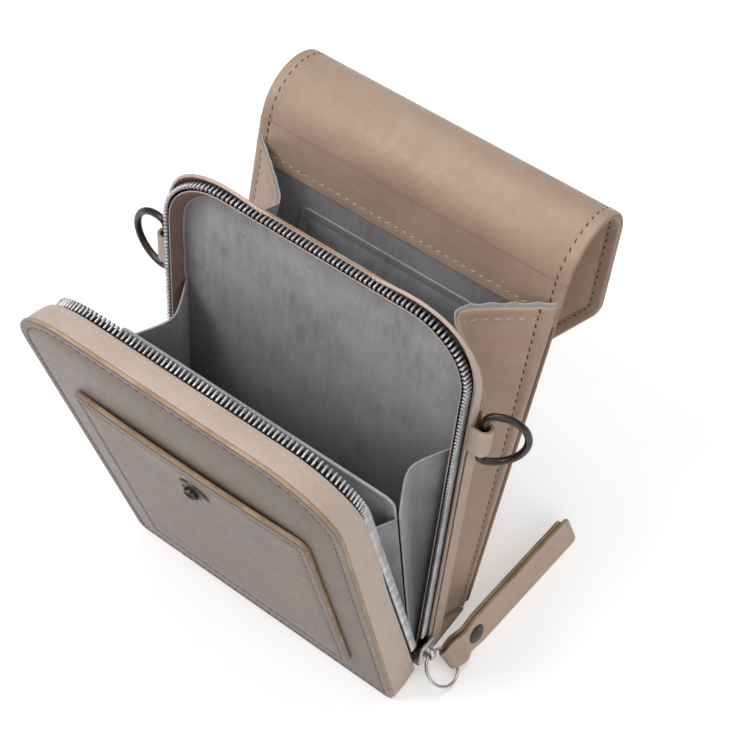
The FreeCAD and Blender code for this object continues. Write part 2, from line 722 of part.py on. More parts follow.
pull_rivet = new_body("pull_rivet", MID, pull_shift)
shank = new_sketch(pull_rivet, "shank", "XY_Plane")
circle(shank, ZERO, rivet_place, rivet_shank)
grow(pull_rivet, "Pad", shank, pull_thickness, midplane=True)
for name, offset, reverse in (("outer_head", pull_thickness / 2, False),
                              ("inner_head", -pull_thickness / 2, True)):
    head = new_sketch(pull_rivet, name, "XY_Plane", offset)
    circle(head, ZERO, rivet_place, rivet_head)
    grow(pull_rivet, "Pad", head, rivet_crown, reverse=reverse)

# Back panel, lined inside the phone pocket, and faced with leather where it rises as the flap
crease = curl_start - bend_gap
bevel_start = curl_start - bend_bevel
back_panel = new_body("back_panel", BACK)
back_side = new_sketch(back_panel, "side", "YZ_Plane")
polygon(back_side, [(ZERO, back_foot), (flap_leather, back_foot), (flap_leather, bevel_start),
                    (ZERO, crease)])
grow(back_panel, "Pad", back_side, half_width * 2, midplane=True)
dress(back_panel, "Fillet", lambda edge: along(edge, 1) and near(edge.Vertexes[0].Z, back_foot.value),
      foot_radius, "feet")
flap_facing = new_body("flap_facing", BACK)
facing_side = new_sketch(flap_facing, "side", "YZ_Plane")
polygon(facing_side, [(-flap_leather, facing_start), (ZERO, facing_start), (ZERO, crease),
                      (-flap_leather, bevel_start)])
grow(flap_facing, "Pad", facing_side, half_width * 2, midplane=True)
back_lining = panel("back_lining", BACK, lining_half, lining_start, facing_start - seam_gap, foot_radius,
                    -lining, lining)
slip_pocket = new_body("slip_pocket", BACK)
slip = new_sketch(slip_pocket, "slip", "XZ_Plane", lining)
rectangle(slip, -slip_half_width, slip_half_width, slip_bottom, slip_top)
grow(slip_pocket, "Pad", slip, lining)

# Flap links: each plate is bevelled to an edge on its bending lines, so that it can turn both ways
link_frame = BACK.moved(ZERO, curl_start, -curl_angle)
links = [("flap_band_1", curl_band, -curl_angle), ("flap_band_2", curl_band, -curl_angle),
         ("flap_band_3", curl_band, -curl_angle), ("flap_top", top_run, ZERO),
         ("flap_band_4", front_band, ZERO)]
for label, length, next_turn in links:
    plate = new_body(label, link_frame)
    plate_side = new_sketch(plate, "side", "YZ_Plane")
    polygon(plate_side, [
        (ZERO, bend_gap), (flap_leather, bend_bevel), (flap_leather, length - bend_bevel),
        (ZERO, length - bend_gap), (-flap_leather, length - bend_bevel), (-flap_leather, bend_bevel)])
    grow(plate, "Pad", plate_side, half_width * 2, midplane=True)
    link_frame = link_frame.moved(ZERO, length, next_turn)

flap_lip = new_body("flap_lip", link_frame)
lip_side = new_sketch(flap_lip, "side", "YZ_Plane")
polygon(lip_side, [(ZERO, bend_gap), (flap_leather, bend_bevel), (flap_leather, lip_length),
                   (-flap_leather, lip_length), (-flap_leather, bend_bevel)])
grow(flap_lip, "Pad", lip_side, half_width * 2, midplane=True)
for side, end in ((1, "right"), (-1, "left")):
    trim = new_sketch(flap_lip, f"trim_{end}", "XZ_Plane")
    outside = half_width + cut_overrun
    polygon(trim, [(half_width * side, lip_straight), (lip_tip_half_width * side, lip_length),
                   (lip_tip_half_width * side, lip_length + cut_overrun),
                   (outside * side, lip_length + cut_overrun), (outside * side, lip_straight)])
    grow(flap_lip, "Pocket", trim, (flap_leather + cut_overrun) * 2, midplane=True)
dress(flap_lip, "Fillet", lambda edge: along(edge, 1) and near(edge.Vertexes[0].Z, lip_straight.value),
      lip_shoulder_radius, "shoulders")
dress(flap_lip, "Fillet", lambda edge: along(edge, 1) and near(edge.Vertexes[0].Z, lip_length.value),
      lip_tip_radius, "tip")

# Snap on the lip: a domed cap outside and a socket ring inside
cap_frame = link_frame.moved(flap_leather, lip_length - snap_from_tip, ZERO)
snap_cap = turned("snap_cap", cap_frame, [
    (ZERO, ZERO), (cap_radius, ZERO), (cap_radius, cap_rim), (cap_radius * 2 / 3, cap_rim + cap_crown),
    (ZERO, cap_rim + cap_crown)])
socket_frame = link_frame.moved(-flap_leather, lip_length - snap_from_tip, ZERO)
snap_socket = turned("snap_socket", socket_frame, [
    (snap_neck_radius + socket_play, ZERO), (snap_radius, ZERO), (snap_radius, -socket_depth),
    (snap_neck_radius + socket_play, -socket_depth)])

doc.recompute()

# Check every piece before anything is written
failed = [item.Label for item in doc.Objects if {"Invalid", "Error"} & set(item.State)]
if failed:
    raise RuntimeError(f"failed objects: {failed}")
parts = [item for item in doc.Objects
         if item.TypeId == "PartDesign::Body" or item.TypeId == "Part::Feature"]
for item in parts:
    if item.Shape.isNull() or not item.Shape.isValid():
        raise RuntimeError(f"bad shape: {item.Label}")

os.makedirs("parts", exist_ok=True)
for item in parts:
    item.Shape.exportStep(f"parts/{item.Label}.step")
print(f"{len(parts)} pieces written")
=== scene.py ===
"""The phone pouch's looks: every piece is cut flat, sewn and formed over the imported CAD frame."""
import logging
import math
from dataclasses import dataclass, field
from enum import Enum, IntEnum
from typing import Callable, Dict, List, Optional, Sequence, Tuple, Union

import bmesh
import bpy
from mathutils import Matrix, Vector


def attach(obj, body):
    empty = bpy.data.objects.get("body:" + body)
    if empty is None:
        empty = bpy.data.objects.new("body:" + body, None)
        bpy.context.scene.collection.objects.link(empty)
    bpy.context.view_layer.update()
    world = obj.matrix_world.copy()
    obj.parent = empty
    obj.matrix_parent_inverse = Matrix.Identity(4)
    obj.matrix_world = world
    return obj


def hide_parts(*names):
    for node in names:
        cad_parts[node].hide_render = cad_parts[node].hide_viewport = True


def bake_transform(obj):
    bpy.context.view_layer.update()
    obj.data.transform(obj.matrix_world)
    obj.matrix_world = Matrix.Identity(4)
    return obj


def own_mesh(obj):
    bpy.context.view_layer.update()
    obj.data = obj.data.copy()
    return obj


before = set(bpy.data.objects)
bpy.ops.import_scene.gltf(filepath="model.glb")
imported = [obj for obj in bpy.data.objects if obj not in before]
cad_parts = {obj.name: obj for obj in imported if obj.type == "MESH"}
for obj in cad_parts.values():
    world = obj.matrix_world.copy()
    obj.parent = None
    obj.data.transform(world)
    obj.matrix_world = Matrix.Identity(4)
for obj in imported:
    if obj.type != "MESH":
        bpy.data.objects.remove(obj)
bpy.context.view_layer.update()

LOG = logging.getLogger("pouch")
MM = 0.001
UV_PER_MM = 0.01
Colour = Tuple[float, float, float]
Form = Callable[[float, float, float], Vector]
Surface = Callable[[float, float], Vector]
Material = bpy.types.Material
Piece = bpy.types.Object
Socket = bpy.types.NodeSocket
Feed = Union[Socket, float, Sequence[float]]


# ---------------------------------------------------------------- frames and lines

def turn_about(axis: str, degrees: float) -> Matrix:
    """A turn about one of the axes."""
    return Matrix.Rotation(math.radians(degrees), 4, axis)


@dataclass(frozen=True)
class Lean:
    """A frame of the pouch that leans about the width axis: origin in mm, turn in degrees."""

    y: float
    z: float
    turn: float

    def way(self, x: float, y: float, z: float) -> Vector:
        """A direction or offset of this frame, turned into the pouch's axes."""
        c, s = math.cos(math.radians(self.turn)), math.sin(math.radians(self.turn))
        return Vector((x, y * c - z * s, y * s + z * c))

    def at(self, x: float, y: float, z: float) -> Vector:
        """A point of this frame in mm, as metres in the row frame."""
        return (Vector((0, self.y, self.z)) + self.way(x, y, z)) * MM

    def place(self, x: float, y: float, z: float) -> Matrix:
        """The frame's axes moved to one of its own points, for pieces drawn in mm."""
        return Matrix.Translation(self.at(x, y, z)) @ turn_about("X", self.turn) \
            @ Matrix.Diagonal((MM, MM, MM, 1))

    def line(self, depth: float, height: float) -> float:
        """Where the plane at a depth of this frame stands, in y, at a height above the floor."""
        turn = math.radians(self.turn)
        return self.y + depth / math.cos(turn) - (height - self.z) * math.tan(turn)


MID = Lean(-12.0, 3.6, -6.3)
FRONT = Lean(-12.0, 3.6, 11.8)
FACE = Lean(-28.15, 0.226, 9.97)
DIVIDER = Lean(-12.0, 3.6, 5.3)
BACK = Lean(14.0, 1.8, -15.3)

# sizes that both trays and the pockets share, in mm
LINING_HALF, LINING_FOOT, LINING_CORNER, CLOTH = 55.4, 1.7, 22.0, 0.6
FLOOR_HALF, FLOOR_BOARD = 55.6, 1.35


@dataclass(frozen=True)
class Corner:
    """A corner of a cut piece, in mm, with the radius it is rounded to."""

    u: float
    v: float
    radius: float = 0.0


def box_corners(left: float, right: float, low: float, high: float, foot: float = 0.0,
                head: float = 0.0) -> List[Corner]:
    """The corners of an upright rectangle with rounded feet and head."""
    return [Corner(left, low, foot), Corner(right, low, foot), Corner(right, high, head),
            Corner(left, high, head)]


def inside_line(corners: Sequence[Corner], inset: float, steps: int = 8) -> List[Vector]:
    """The closed line that runs a distance inside an outline.

    Args:
        corners: The outline, counter-clockwise.
        inset: How far inside it the line runs, in mm.
        steps: Points on each rounded corner.

    Returns:
        The points of the line, in mm.
    """
    line: List[Vector] = []
    for index, corner in enumerate(corners):
        here = Vector((corner.u, corner.v))
        before, after = corners[index - 1], corners[(index + 1) % len(corners)]
        back = (Vector((before.u, before.v)) - here).normalized()
        ahead = (Vector((after.u, after.v)) - here).normalized()
        half = back.angle(ahead) / 2
        middle = (back + ahead).normalized()
        vertex = here + middle * inset / math.sin(half)
        radius = max(corner.radius - inset, 0.0)
        if radius == 0.0:
            line.append(vertex)
            continue
        centre = vertex + middle * radius / math.sin(half)
        first = vertex + back * radius / math.tan(half) - centre
        sweep = first.angle_signed(vertex + ahead * radius / math.tan(half) - centre)
        for step in range(steps + 1):
            turn = -sweep * step / steps
            line.append(centre + Matrix.Rotation(turn, 2) @ first)
    return line


def paced(line: Sequence[Vector], pitch: float, closed: bool) -> List[Tuple[Vector, float]]:
    """Evenly spaced places along a line of points, with the heading at each in radians."""
    points = list(line) + ([line[0]] if closed else [])
    spots: List[Tuple[Vector, float]] = []
    due = pitch / 2
    for start, end in zip(points, points[1:]):
        run = (end - start).length
        while due < run:
            way = (end - start).normalized()
            spots.append((start + way * due, math.atan2(way.y, way.x)))
            due += pitch
        due -= run
    return spots


def straight(u: float, v: float, end_u: float, end_v: float) -> List[Vector]:
    """A straight line between two places."""
    return [Vector((u, v)), Vector((end_u, end_v))]


def smooth(share: float) -> float:
    """A share from 0 to 1 that starts and ends gently."""
    share = min(max(share, 0.0), 1.0)
    return share * share * (3 - 2 * share)


# ---------------------------------------------------------------- finishes

def srgb(red: int, green: int, blue: int) -> Colour:
    """A colour read from the photograph, as linear light."""
    def channel(value: int) -> float:
        """One channel as linear light."""
        share = value / 255
        return share / 12.92 if share <= 0.04045 else ((share + 0.055) / 1.055) ** 2.4
    return channel(red), channel(green), channel(blue)


class Tree:
    """A material's node tree, built node by node round one Principled shader."""

    def __init__(self, name: str) -> None:
        """Makes an empty material of that name."""
        self.material = bpy.data.materials.new(name)
        self.material.use_nodes = True
        self.nodes = self.material.node_tree.nodes
        self.links = self.material.node_tree.links
        self.shader = self.nodes["Principled BSDF"]

    def add(self, kind: str, inputs: Optional[Dict] = None, **settings: str) -> bpy.types.Node:
        """Adds a node; inputs are values or sockets by name or index, settings its own choices."""
        node = self.nodes.new(kind)
        for key, value in settings.items():
            setattr(node, key, value)
        for key, value in (inputs or {}).items():
            self.feed(node.inputs[key], value)
        return node

    def feed(self, socket: Socket, value: Feed) -> None:
        """Links a socket to an input, or sets the input's value."""
        if isinstance(value, Socket):
            self.links.new(value, socket)
        elif hasattr(socket.default_value, "__len__") and len(value) == 3 and len(socket.default_value) == 4:
            socket.default_value = (*value, 1.0)
        else:
            socket.default_value = value

    def flat(self) -> Socket:
        """The piece's own flat pattern, in units of 100 mm."""
        return self.add("ShaderNodeUVMap", uv_map="flat").outputs["UV"]

    def body(self) -> Socket:
        """The object's own coordinates, in metres."""
        return self.add("ShaderNodeTexCoord").outputs["Object"]

    def stretched(self, vector: Socket, scale: Tuple[float, float, float]) -> Socket:
        """A vector scaled along each axis."""
        return self.add("ShaderNodeMapping", {"Vector": vector, "Scale": scale}).outputs["Vector"]

    def noise(self, vector: Socket, scale: float, detail: float = 3.0, rough: float = 0.55) -> Socket:
        """A soft noise from 0 to 1."""
        return self.add("ShaderNodeTexNoise", {"Vector": vector, "Scale": scale, "Detail": detail,
                                               "Roughness": rough}).outputs["Fac"]

    def cells(self, vector: Socket, scale: float) -> Socket:
        """The distance to the nearest point of a cell pattern, the pebbles of a grain."""
        return self.add("ShaderNodeTexVoronoi", {"Vector": vector, "Scale": scale, "Randomness": 1.0},
                        feature="SMOOTH_F1").outputs["Distance"]

    def span(self, value: Feed, low: float, high: float, to_low: float = 0.0, to_high: float = 1.0) -> Socket:
        """A value's range stretched to another, and kept inside it."""
        return self.add("ShaderNodeMapRange", {"Value": value, "From Min": low, "From Max": high,
                                               "To Min": to_low, "To Max": to_high}).outputs["Result"]

    def sum(self, first: Feed, second: Feed, share: float) -> Socket:
        """The first value plus a share of the second."""
        return self.add("ShaderNodeMath", {0: second, 1: share, 2: first}, operation="MULTIPLY_ADD").outputs[0]

    def blend(self, share: Feed, first: Feed, second: Feed) -> Socket:
        """A colour between two, by a share."""
        return self.add("ShaderNodeMix", {0: share, 6: first, 7: second}, data_type="RGBA").outputs[2]

    def relief(self, height: Socket, strength: float, depth_mm: float) -> None:
        """Gives the surface a bump of that height field."""
        bump = self.add("ShaderNodeBump", {"Height": height, "Strength": strength, "Distance": depth_mm * MM})
        self.links.new(bump.outputs["Normal"], self.shader.inputs["Normal"])

    def dress(self, **values: Feed) -> Material:
        """Sets the shader's inputs, named with _ for spaces, and returns the material."""
        for key, value in values.items():
            self.feed(self.shader.inputs[key.replace("_", " ")], value)
        return self.material


@dataclass(frozen=True)
class Leather:
    """A grained leather: its colours, pebbles per 100 mm, relief and gloss."""

    name: str
    colour: Colour
    dark: Colour
    light: Colour
    grain: float = 105.0
    relief: float = 0.34
    rough: float = 0.46
    wear: float = 0.2
    shine: float = 0.42

    def material(self) -> Material:
        """The leather as a material on the flat pattern."""
        tree = Tree(self.name)
        flat = tree.flat()
        pebbles = tree.cells(flat, self.grain)
        pores = tree.noise(flat, self.grain * 2.6, 2.0)
        patches = tree.span(tree.noise(flat, 5.5, 4.0), 0.34, 0.66)
        mottle = tree.span(tree.noise(flat, 34.0, 4.0, 0.65), 0.3, 0.72)
        creases = tree.span(tree.noise(tree.stretched(flat, (3.0, 16.0, 1.0)), 3.0, 5.0), 0.35, 0.65)
        tone = tree.blend(tree.span(patches, 0, 1, 0.45, 1.0), self.dark, self.colour)
        tone = tree.blend(tree.span(mottle, 0, 1, 0.0, self.wear), tone, self.light)
        tone = tree.blend(tree.span(pebbles, 0.42, 0.75, 0.0, 0.16), tone, self.dark)
        height = tree.sum(tree.span(pebbles, 0.1, 0.75, 1.0, 0.0), pores, 0.35)
        height = tree.sum(height, creases, 0.18)
        tree.relief(height, self.relief, 0.16)
        gloss = tree.span(mottle, 0, 1, self.rough + 0.07, self.rough - 0.06)
        return tree.dress(Base_Color=tone, Roughness=gloss, Specular_IOR_Level=self.shine, Sheen_Weight=0.06,
                          Sheen_Roughness=0.6)


@dataclass(frozen=True)
class CutEdge:
    """The raw or burnished edge of leather, with its fibres."""

    name: str
    colour: Colour
    dark: Colour

    def material(self) -> Material:
        """The edge as a material."""
        tree = Tree(self.name)
        place = tree.body()
        fibres = tree.noise(place, 1500.0, 4.0, 0.7)
        bands = tree.noise(place, 160.0, 3.0)
        tone = tree.blend(tree.span(bands, 0.3, 0.7), self.dark, self.colour)
        tone = tree.blend(tree.span(fibres, 0.45, 0.8, 0.0, 0.35), tone, self.dark)
        tree.relief(fibres, 0.4, 0.1)
        return tree.dress(Base_Color=tone, Roughness=tree.span(bands, 0.3, 0.7, 0.72, 0.56),
                          Specular_IOR_Level=0.35)


@dataclass(frozen=True)
class Suede:
    """A napped lining with brushed streaks, and painted shade that darkens it towards the bottom of its flat pattern
    where deep is set.
    """

    name: str
    colour: Colour
    dark: Colour
    light: Colour
    sheen: float = 0.25
    rough: float = 0.92
    # deep sets how strongly painted shade darkens the tone towards the bottom of the flat pattern, as if shade fell
    # deep in a pocket
    deep: float = 0.0

    def material(self) -> Material:
        """The lining as a material on the flat pattern."""
        tree = Tree(self.name)
        flat = tree.flat()
        streaks = tree.span(tree.noise(tree.stretched(flat, (34.0, 7.0, 1.0)), 1.0, 6.0, 0.7), 0.32, 0.7)
        clouds = tree.span(tree.noise(flat, 4.5, 6.0, 0.68), 0.38, 0.6)
        nap = tree.noise(flat, 420.0, 3.0, 0.7)
        tone = tree.blend(clouds, self.dark, self.colour)
        tone = tree.blend(tree.span(streaks, 0, 1, 0.0, 0.6), tone, self.light)
        tone = tree.blend(tree.span(nap, 0.35, 0.75, 0.0, 0.4), tone, self.dark)
        # painted shade: below 150 mm up the flat pattern the tone is darkened towards a third of the dark colour,
        # fully by 45 mm
        if self.deep > 0:
            rise = tree.add("ShaderNodeSeparateXYZ", {"Vector": flat}).outputs["Y"]
            tone = tree.blend(tree.span(rise, 0.45, 1.5, self.deep, 0.0), tone, tuple(c * 0.3 for c in self.dark))
        tree.relief(tree.sum(nap, streaks, 0.4), 0.55, 0.2)
        return tree.dress(Base_Color=tone, Roughness=tree.span(streaks, 0, 1, self.rough, self.rough - 0.1),
                          Specular_IOR_Level=0.15, Sheen_Weight=self.sheen, Sheen_Roughness=0.45)


@dataclass(frozen=True)
class Woven:
    """A woven ribbon or a twisted thread, by its ribs per 100 mm."""

    name: str
    colour: Colour
    dark: Colour
    ribs: float = 160.0
    rough: float = 0.75

    def material(self) -> Material:
        """The weave as a material on the flat pattern."""
        tree = Tree(self.name)
        flat = tree.flat()
        weft = tree.add("ShaderNodeTexWave", {"Vector": flat, "Scale": self.ribs / 6.28, "Distortion": 0.8,
                                              "Detail": 2.0}, bands_direction="DIAGONAL").outputs["Fac"]
        warp = tree.add("ShaderNodeTexWave", {"Vector": flat, "Scale": self.ribs / 5.0, "Distortion": 0.6},
                        bands_direction="Y").outputs["Fac"]
        fuzz = tree.noise(flat, 300.0)
        height = tree.sum(weft, warp, 0.7)
        tone = tree.blend(tree.span(height, 0.2, 1.4), self.dark, self.colour)
        tree.relief(tree.sum(height, fuzz, 0.4), 0.5, 0.12)
        return tree.dress(Base_Color=tone, Roughness=tree.span(fuzz, 0.3, 0.7, self.rough, self.rough + 0.12),
                          Specular_IOR_Level=0.3)


@dataclass(frozen=True)
class Plated:
    """Plated metal with fine scratches and a little tarnish."""

    name: str
    colour: Colour
    dark: Colour
    rough: float = 0.24

    def material(self) -> Material:
        """The metal as a material on the object's own coordinates."""
        tree = Tree(self.name)
        place = tree.body()
        tarnish = tree.span(tree.noise(place, 240.0, 4.0), 0.35, 0.68)
        scratches = tree.noise(tree.stretched(place, (900.0, 260.0, 2600.0)), 1.0, 3.0)
        tone = tree.blend(tree.span(tarnish, 0, 1, 0.0, 0.5), self.colour, self.dark)
        tree.relief(scratches, 0.12, 0.03)
        gloss = tree.sum(tree.span(tarnish, 0, 1, self.rough, self.rough + 0.12), scratches, 0.08)
        return tree.dress(Base_Color=tone, Metallic=1.0, Roughness=gloss)


FINISHES: Dict[str, Union[Leather, CutEdge, Suede, Woven, Plated]] = {
    "shell": Leather("shell_leather_grain", srgb(168, 143, 124), srgb(148, 123, 105), srgb(185, 163, 145)),
    "strap": Leather("strap_leather_grain", srgb(188, 163, 144), srgb(168, 142, 123), srgb(204, 182, 164)),
    "flesh": Leather("flesh_side", srgb(150, 122, 104), srgb(122, 96, 80), srgb(170, 142, 122), 180.0, 0.4, 0.75),
    # panel: its own greyer tone, darkened further as painted shade because the front panel and pocket face forward
    # and are lit less than the flap
    "panel": Leather("panel_leather_grain_with_painted_shade", srgb(120, 104, 95), srgb(103, 88, 80),
                     srgb(136, 120, 111), 120.0, 0.3, 0.46, shine=0.28),
    "strip": Leather("strip_leather_grain", srgb(190, 170, 157), srgb(172, 150, 136),
                     srgb(206, 188, 176), 170.0, 0.45, 0.56),
    "edge": CutEdge("tan_edge", srgb(178, 154, 128), srgb(146, 120, 96)),
    "dyed_edge": CutEdge("dyed_edge", srgb(170, 140, 120), srgb(138, 108, 90)),
    # deep paints shade towards the bottom of the grey linings, the divider, the bellows and the tray floors
    "suede": Suede("grey_suede", srgb(182, 182, 184), srgb(146, 146, 149), srgb(206, 206, 207), deep=0.92),
    "binding": Suede("grey_binding", srgb(176, 176, 177), srgb(146, 146, 148), srgb(198, 198, 198)),
    "satin": Suede("dark_satin", srgb(140, 140, 142), srgb(118, 118, 120), srgb(160, 160, 162), 0.12, 0.58),
    "tape": Woven("zip_tape_weave", srgb(44, 44, 46), srgb(24, 24, 26)),
    "dark_thread": Woven("dark_thread", srgb(82, 66, 58), srgb(54, 42, 37), 420.0),
    "pale_thread": Woven("pale_thread", srgb(226, 212, 190), srgb(176, 158, 134), 420.0),
    "grey_thread": Woven("grey_thread", srgb(176, 175, 174), srgb(120, 120, 120), 420.0),
    "teeth": Plated("zip_teeth_metal", srgb(206, 206, 207), srgb(118, 117, 117), 0.34),
    "nickel": Plated("nickel", srgb(214, 212, 208), srgb(160, 157, 152), 0.2),
    "black_nickel": Plated("black_nickel", srgb(78, 75, 74), srgb(44, 42, 42), 0.26),
}


@dataclass
class Palette:
    """Every material of the pouch, made once."""

    made: Dict[str, Material] = field(default_factory=lambda: {k: f.material() for k, f in FINISHES.items()})

    def of(self, names: str) -> Tuple[Material, ...]:
        """The materials for a piece's slots, by their names."""
        return tuple(self.made[name] for name in names.split())


# ---------------------------------------------------------------- cut pieces

class Skin(IntEnum):
    """The material slots of a cut piece."""

    OUTER = 0
    INNER = 1
    EDGE = 2
    THREAD = 3
    SEAM = 4


@dataclass(frozen=True)
class Stitch:
    """A row of stitches: pitch, length, width and height in mm."""

    pitch: float = 3.0
    length: float = 2.1
    width: float = 0.6
    height: float = 0.5


class Sewing(Enum):
    """The rows of stitches on the pouch."""

    SEAM = Stitch()
    TACK = Stitch(1.5, 1.4)
    STRIP = Stitch(2.8, 1.9, 0.45, 0.4)
    WALLET = Stitch(5.0, 2.6, 0.6, 0.4)
    TAB = Stitch(2.0, 1.4, 0.45, 0.4)
    DIVIDER = Stitch(3.0, 2.0, 0.4, 0.35)
    TOPSTITCH = Stitch(3.2, 2.2, 0.6, 0.5)
    BEAD = Stitch(3.0, 2.2, 0.6, 0.5)
    SLIP = Stitch(2.6, 1.8, 0.4, 0.3)
    PULL = Stitch(7.0, 2.2, 0.7, 0.5)
    # dark dots on the pull stand in for punched holes: painted shade where the holes would be dark
    PULL_HOLE_SHADE = Stitch(7.0, 1.0, 1.0, 0.3)


class Blank:
    """A piece of sheet, cut flat in mm with u across, v up and t through it, then dressed and formed."""

    HOLD = 0.25  # mm of flat face kept beside a rounded rim
    FACE_LEAN = 0.65  # a face whose normal leans further over than this counts as cut edge
    STITCH_SLANT = 0.2  # radians by which each stitch lies across its row

    def __init__(self, corners: Sequence[Corner], thickness: float, below: float = 0.0) -> None:
        """Cuts the outline and gives it its thickness.

        Args:
            corners: The outline, counter-clockwise.
            thickness: The sheet's thickness.
            below: Where its lower face lies, in t.
        """
        self.corners = list(corners)
        self.low, self.high = below, below + thickness
        self.mesh = bmesh.new()
        verts = [self.mesh.verts.new((c.u, c.v, below)) for c in corners]
        self.mesh.faces.new(verts)
        for index, (corner, vert) in enumerate(zip(corners, verts)):
            if corner.radius <= 0:
                continue
            before, after = corners[index - 1], corners[(index + 1) % len(corners)]
            back = Vector((before.u - corner.u, before.v - corner.v))
            ahead = Vector((after.u - corner.u, after.v - corner.v))
            offset = corner.radius / math.tan(back.angle(ahead) / 2)
            bmesh.ops.bevel(self.mesh, geom=[vert], offset=offset, offset_type="OFFSET", affect="VERTICES",
                            segments=10, profile=0.5, material=-1)
        raised = bmesh.ops.extrude_face_region(self.mesh, geom=list(self.mesh.faces), use_keep_orig=True)
        top = [g for g in raised["geom"] if isinstance(g, bmesh.types.BMVert)]
        bmesh.ops.translate(self.mesh, vec=(0, 0, thickness), verts=top)
        bmesh.ops.recalc_face_normals(self.mesh, faces=self.mesh.faces)

    def caps(self, upper: bool) -> List[bmesh.types.BMFace]:
        """The widest face on the upper or lower side."""
        way = 1 if upper else -1
        level = self.high if upper else self.low
        flat = [f for f in self.mesh.faces if f.normal.z * way > 0.99
                and abs(f.calc_center_median().z - level) < 0.3]
        return [max(flat, key=lambda f: f.calc_area())]

    def open_side(self, test: Callable[[Vector], bool]) -> "Blank":
        """Leaves out the side walls whose middle meets a test, where the next piece goes on."""
        self.mesh.normal_update()
        walls = [f for f in self.mesh.faces if abs(f.normal.z) < 0.5 and test(f.calc_center_median())]
        bmesh.ops.delete(self.mesh, geom=walls, context="FACES_ONLY")
        return self

    def rim(self, radius: float, segments: int = 3) -> "Blank":
        """Rounds the edges between the faces and the side walls, and holds the faces flat beside them."""
        self.mesh.normal_update()
        edges = [e for e in self.mesh.edges if len(e.link_faces) == 2
                 and abs(abs(e.link_faces[0].normal.z) - abs(e.link_faces[1].normal.z)) > 0.5]
        bmesh.ops.bevel(self.mesh, geom=edges, offset=radius, offset_type="OFFSET", affect="EDGES",
                        segments=segments, profile=0.5, material=-1, clamp_overlap=True)
        self.mesh.normal_update()
        for upper in (True, False):
            bmesh.ops.inset_region(self.mesh, faces=self.caps(upper), thickness=self.HOLD, use_boundary=False)
            self.mesh.normal_update()
        return self

    def groove(self, inset: float, upper: bool = True, depth: float = 0.22, width: float = 0.45) -> "Blank":
        """Presses a seam line into a face, a distance inside its edge."""
        for step, sink in ((inset - self.HOLD - width, 0.0), (width, -depth), (width, depth)):
            self.mesh.normal_update()
            bmesh.ops.inset_region(self.mesh, faces=self.caps(upper), thickness=step, depth=sink,
                                   use_boundary=False)
        self.mesh.normal_update()
        return self

    def slices(self, across: Sequence[float] = (), up: Sequence[float] = ()) -> "Blank":
        """Cuts the mesh along lines of u and of v, so that it can bend there."""
        for places, normal in ((across, (1, 0, 0)), (up, (0, 1, 0))):
            for place in places:
                geom = self.mesh.verts[:] + self.mesh.edges[:] + self.mesh.faces[:]
                bmesh.ops.bisect_plane(self.mesh, geom=geom, dist=0.0001,
                                       plane_co=Vector(normal) * place, plane_no=normal)
        return self

    def paint(self) -> "Blank":
        """Shares the faces out between the outer skin, the inner skin and the cut edge."""
        self.mesh.normal_update()
        for face in self.mesh.faces:
            if face.material_index >= Skin.THREAD:
                continue
            flat = abs(face.normal.z) > self.FACE_LEAN
            face.material_index = Skin.EDGE if not flat else Skin.OUTER if face.normal.z > 0 else Skin.INNER
        return self

    def stitch(self, line: Sequence[Vector], sewing: Sewing, upper: bool = True, closed: bool = False,
               keep: Callable[[Vector], bool] = lambda spot: True, sink: float = 0.1,
               skin: Skin = Skin.THREAD) -> "Blank":
        """Sews a row of stitches along a line on one face.

        Args:
            line: The points of the row, in u and v.
            sewing: The kind of row.
            upper: On the upper face, or else on the lower one.
            closed: Whether the line returns to its start.
            keep: Which places get a stitch.
            sink: How far the stitches' middles lie under the face.
            skin: The slot of the thread.

        Returns:
            This piece.
        """
        kind = sewing.value
        level = self.high - sink if upper else self.low + sink
        for spot, heading in paced(line, kind.pitch, closed):
            if not keep(spot):
                continue
            matrix = Matrix.Translation((spot.x, spot.y, level)) \
                @ Matrix.Rotation(heading + self.STITCH_SLANT, 4, "Z") \
                @ Matrix.Diagonal((kind.length / 2, kind.width / 2, kind.height / 2, 1))
            ball = bmesh.ops.create_icosphere(self.mesh, subdivisions=1, radius=1.0, matrix=matrix)
            for vert in ball["verts"]:
                for face in vert.link_faces:
                    face.material_index = skin
        return self

    def formed(self, form: Form, name: str, skins: Sequence[Material]) -> Piece:
        """Lays the flat pattern's coordinates on the mesh, forms it and makes the object.

        Args:
            form: The place, in metres, of each point (u, v, t).
            name: The object's name.
            skins: The materials in the order of Skin.

        Returns:
            The new object, linked to the scene.
        """
        layer = self.mesh.loops.layers.uv.new("flat")
        for face in self.mesh.faces:
            for loop in face.loops:
                u, v, t = loop.vert.co
                loop[layer].uv = ((u + t) * UV_PER_MM, (v + t) * UV_PER_MM)
        u, v, t = (self.corners[0].u + self.corners[2].u) / 2, (self.corners[0].v + self.corners[2].v) / 2, self.low
        here = form(u, v, t)
        axes = Matrix((form(u + 0.1, v, t) - here, form(u, v + 0.1, t) - here, form(u, v, t + 0.1) - here))
        for vert in self.mesh.verts:
            vert.co = form(*vert.co)
        if axes.determinant() < 0:
            bmesh.ops.reverse_faces(self.mesh, faces=self.mesh.faces)
        return finished(self.mesh, name, skins)


    def laid(self, form: Form, name: str, skins: Sequence[Material], body: str, slot: str, *nodes: str) -> Piece:
        """Forms the piece and puts it on its CAD body."""
        thing = self.formed(form, name, skins)
        settle(thing, body, slot, *nodes)
        return thing


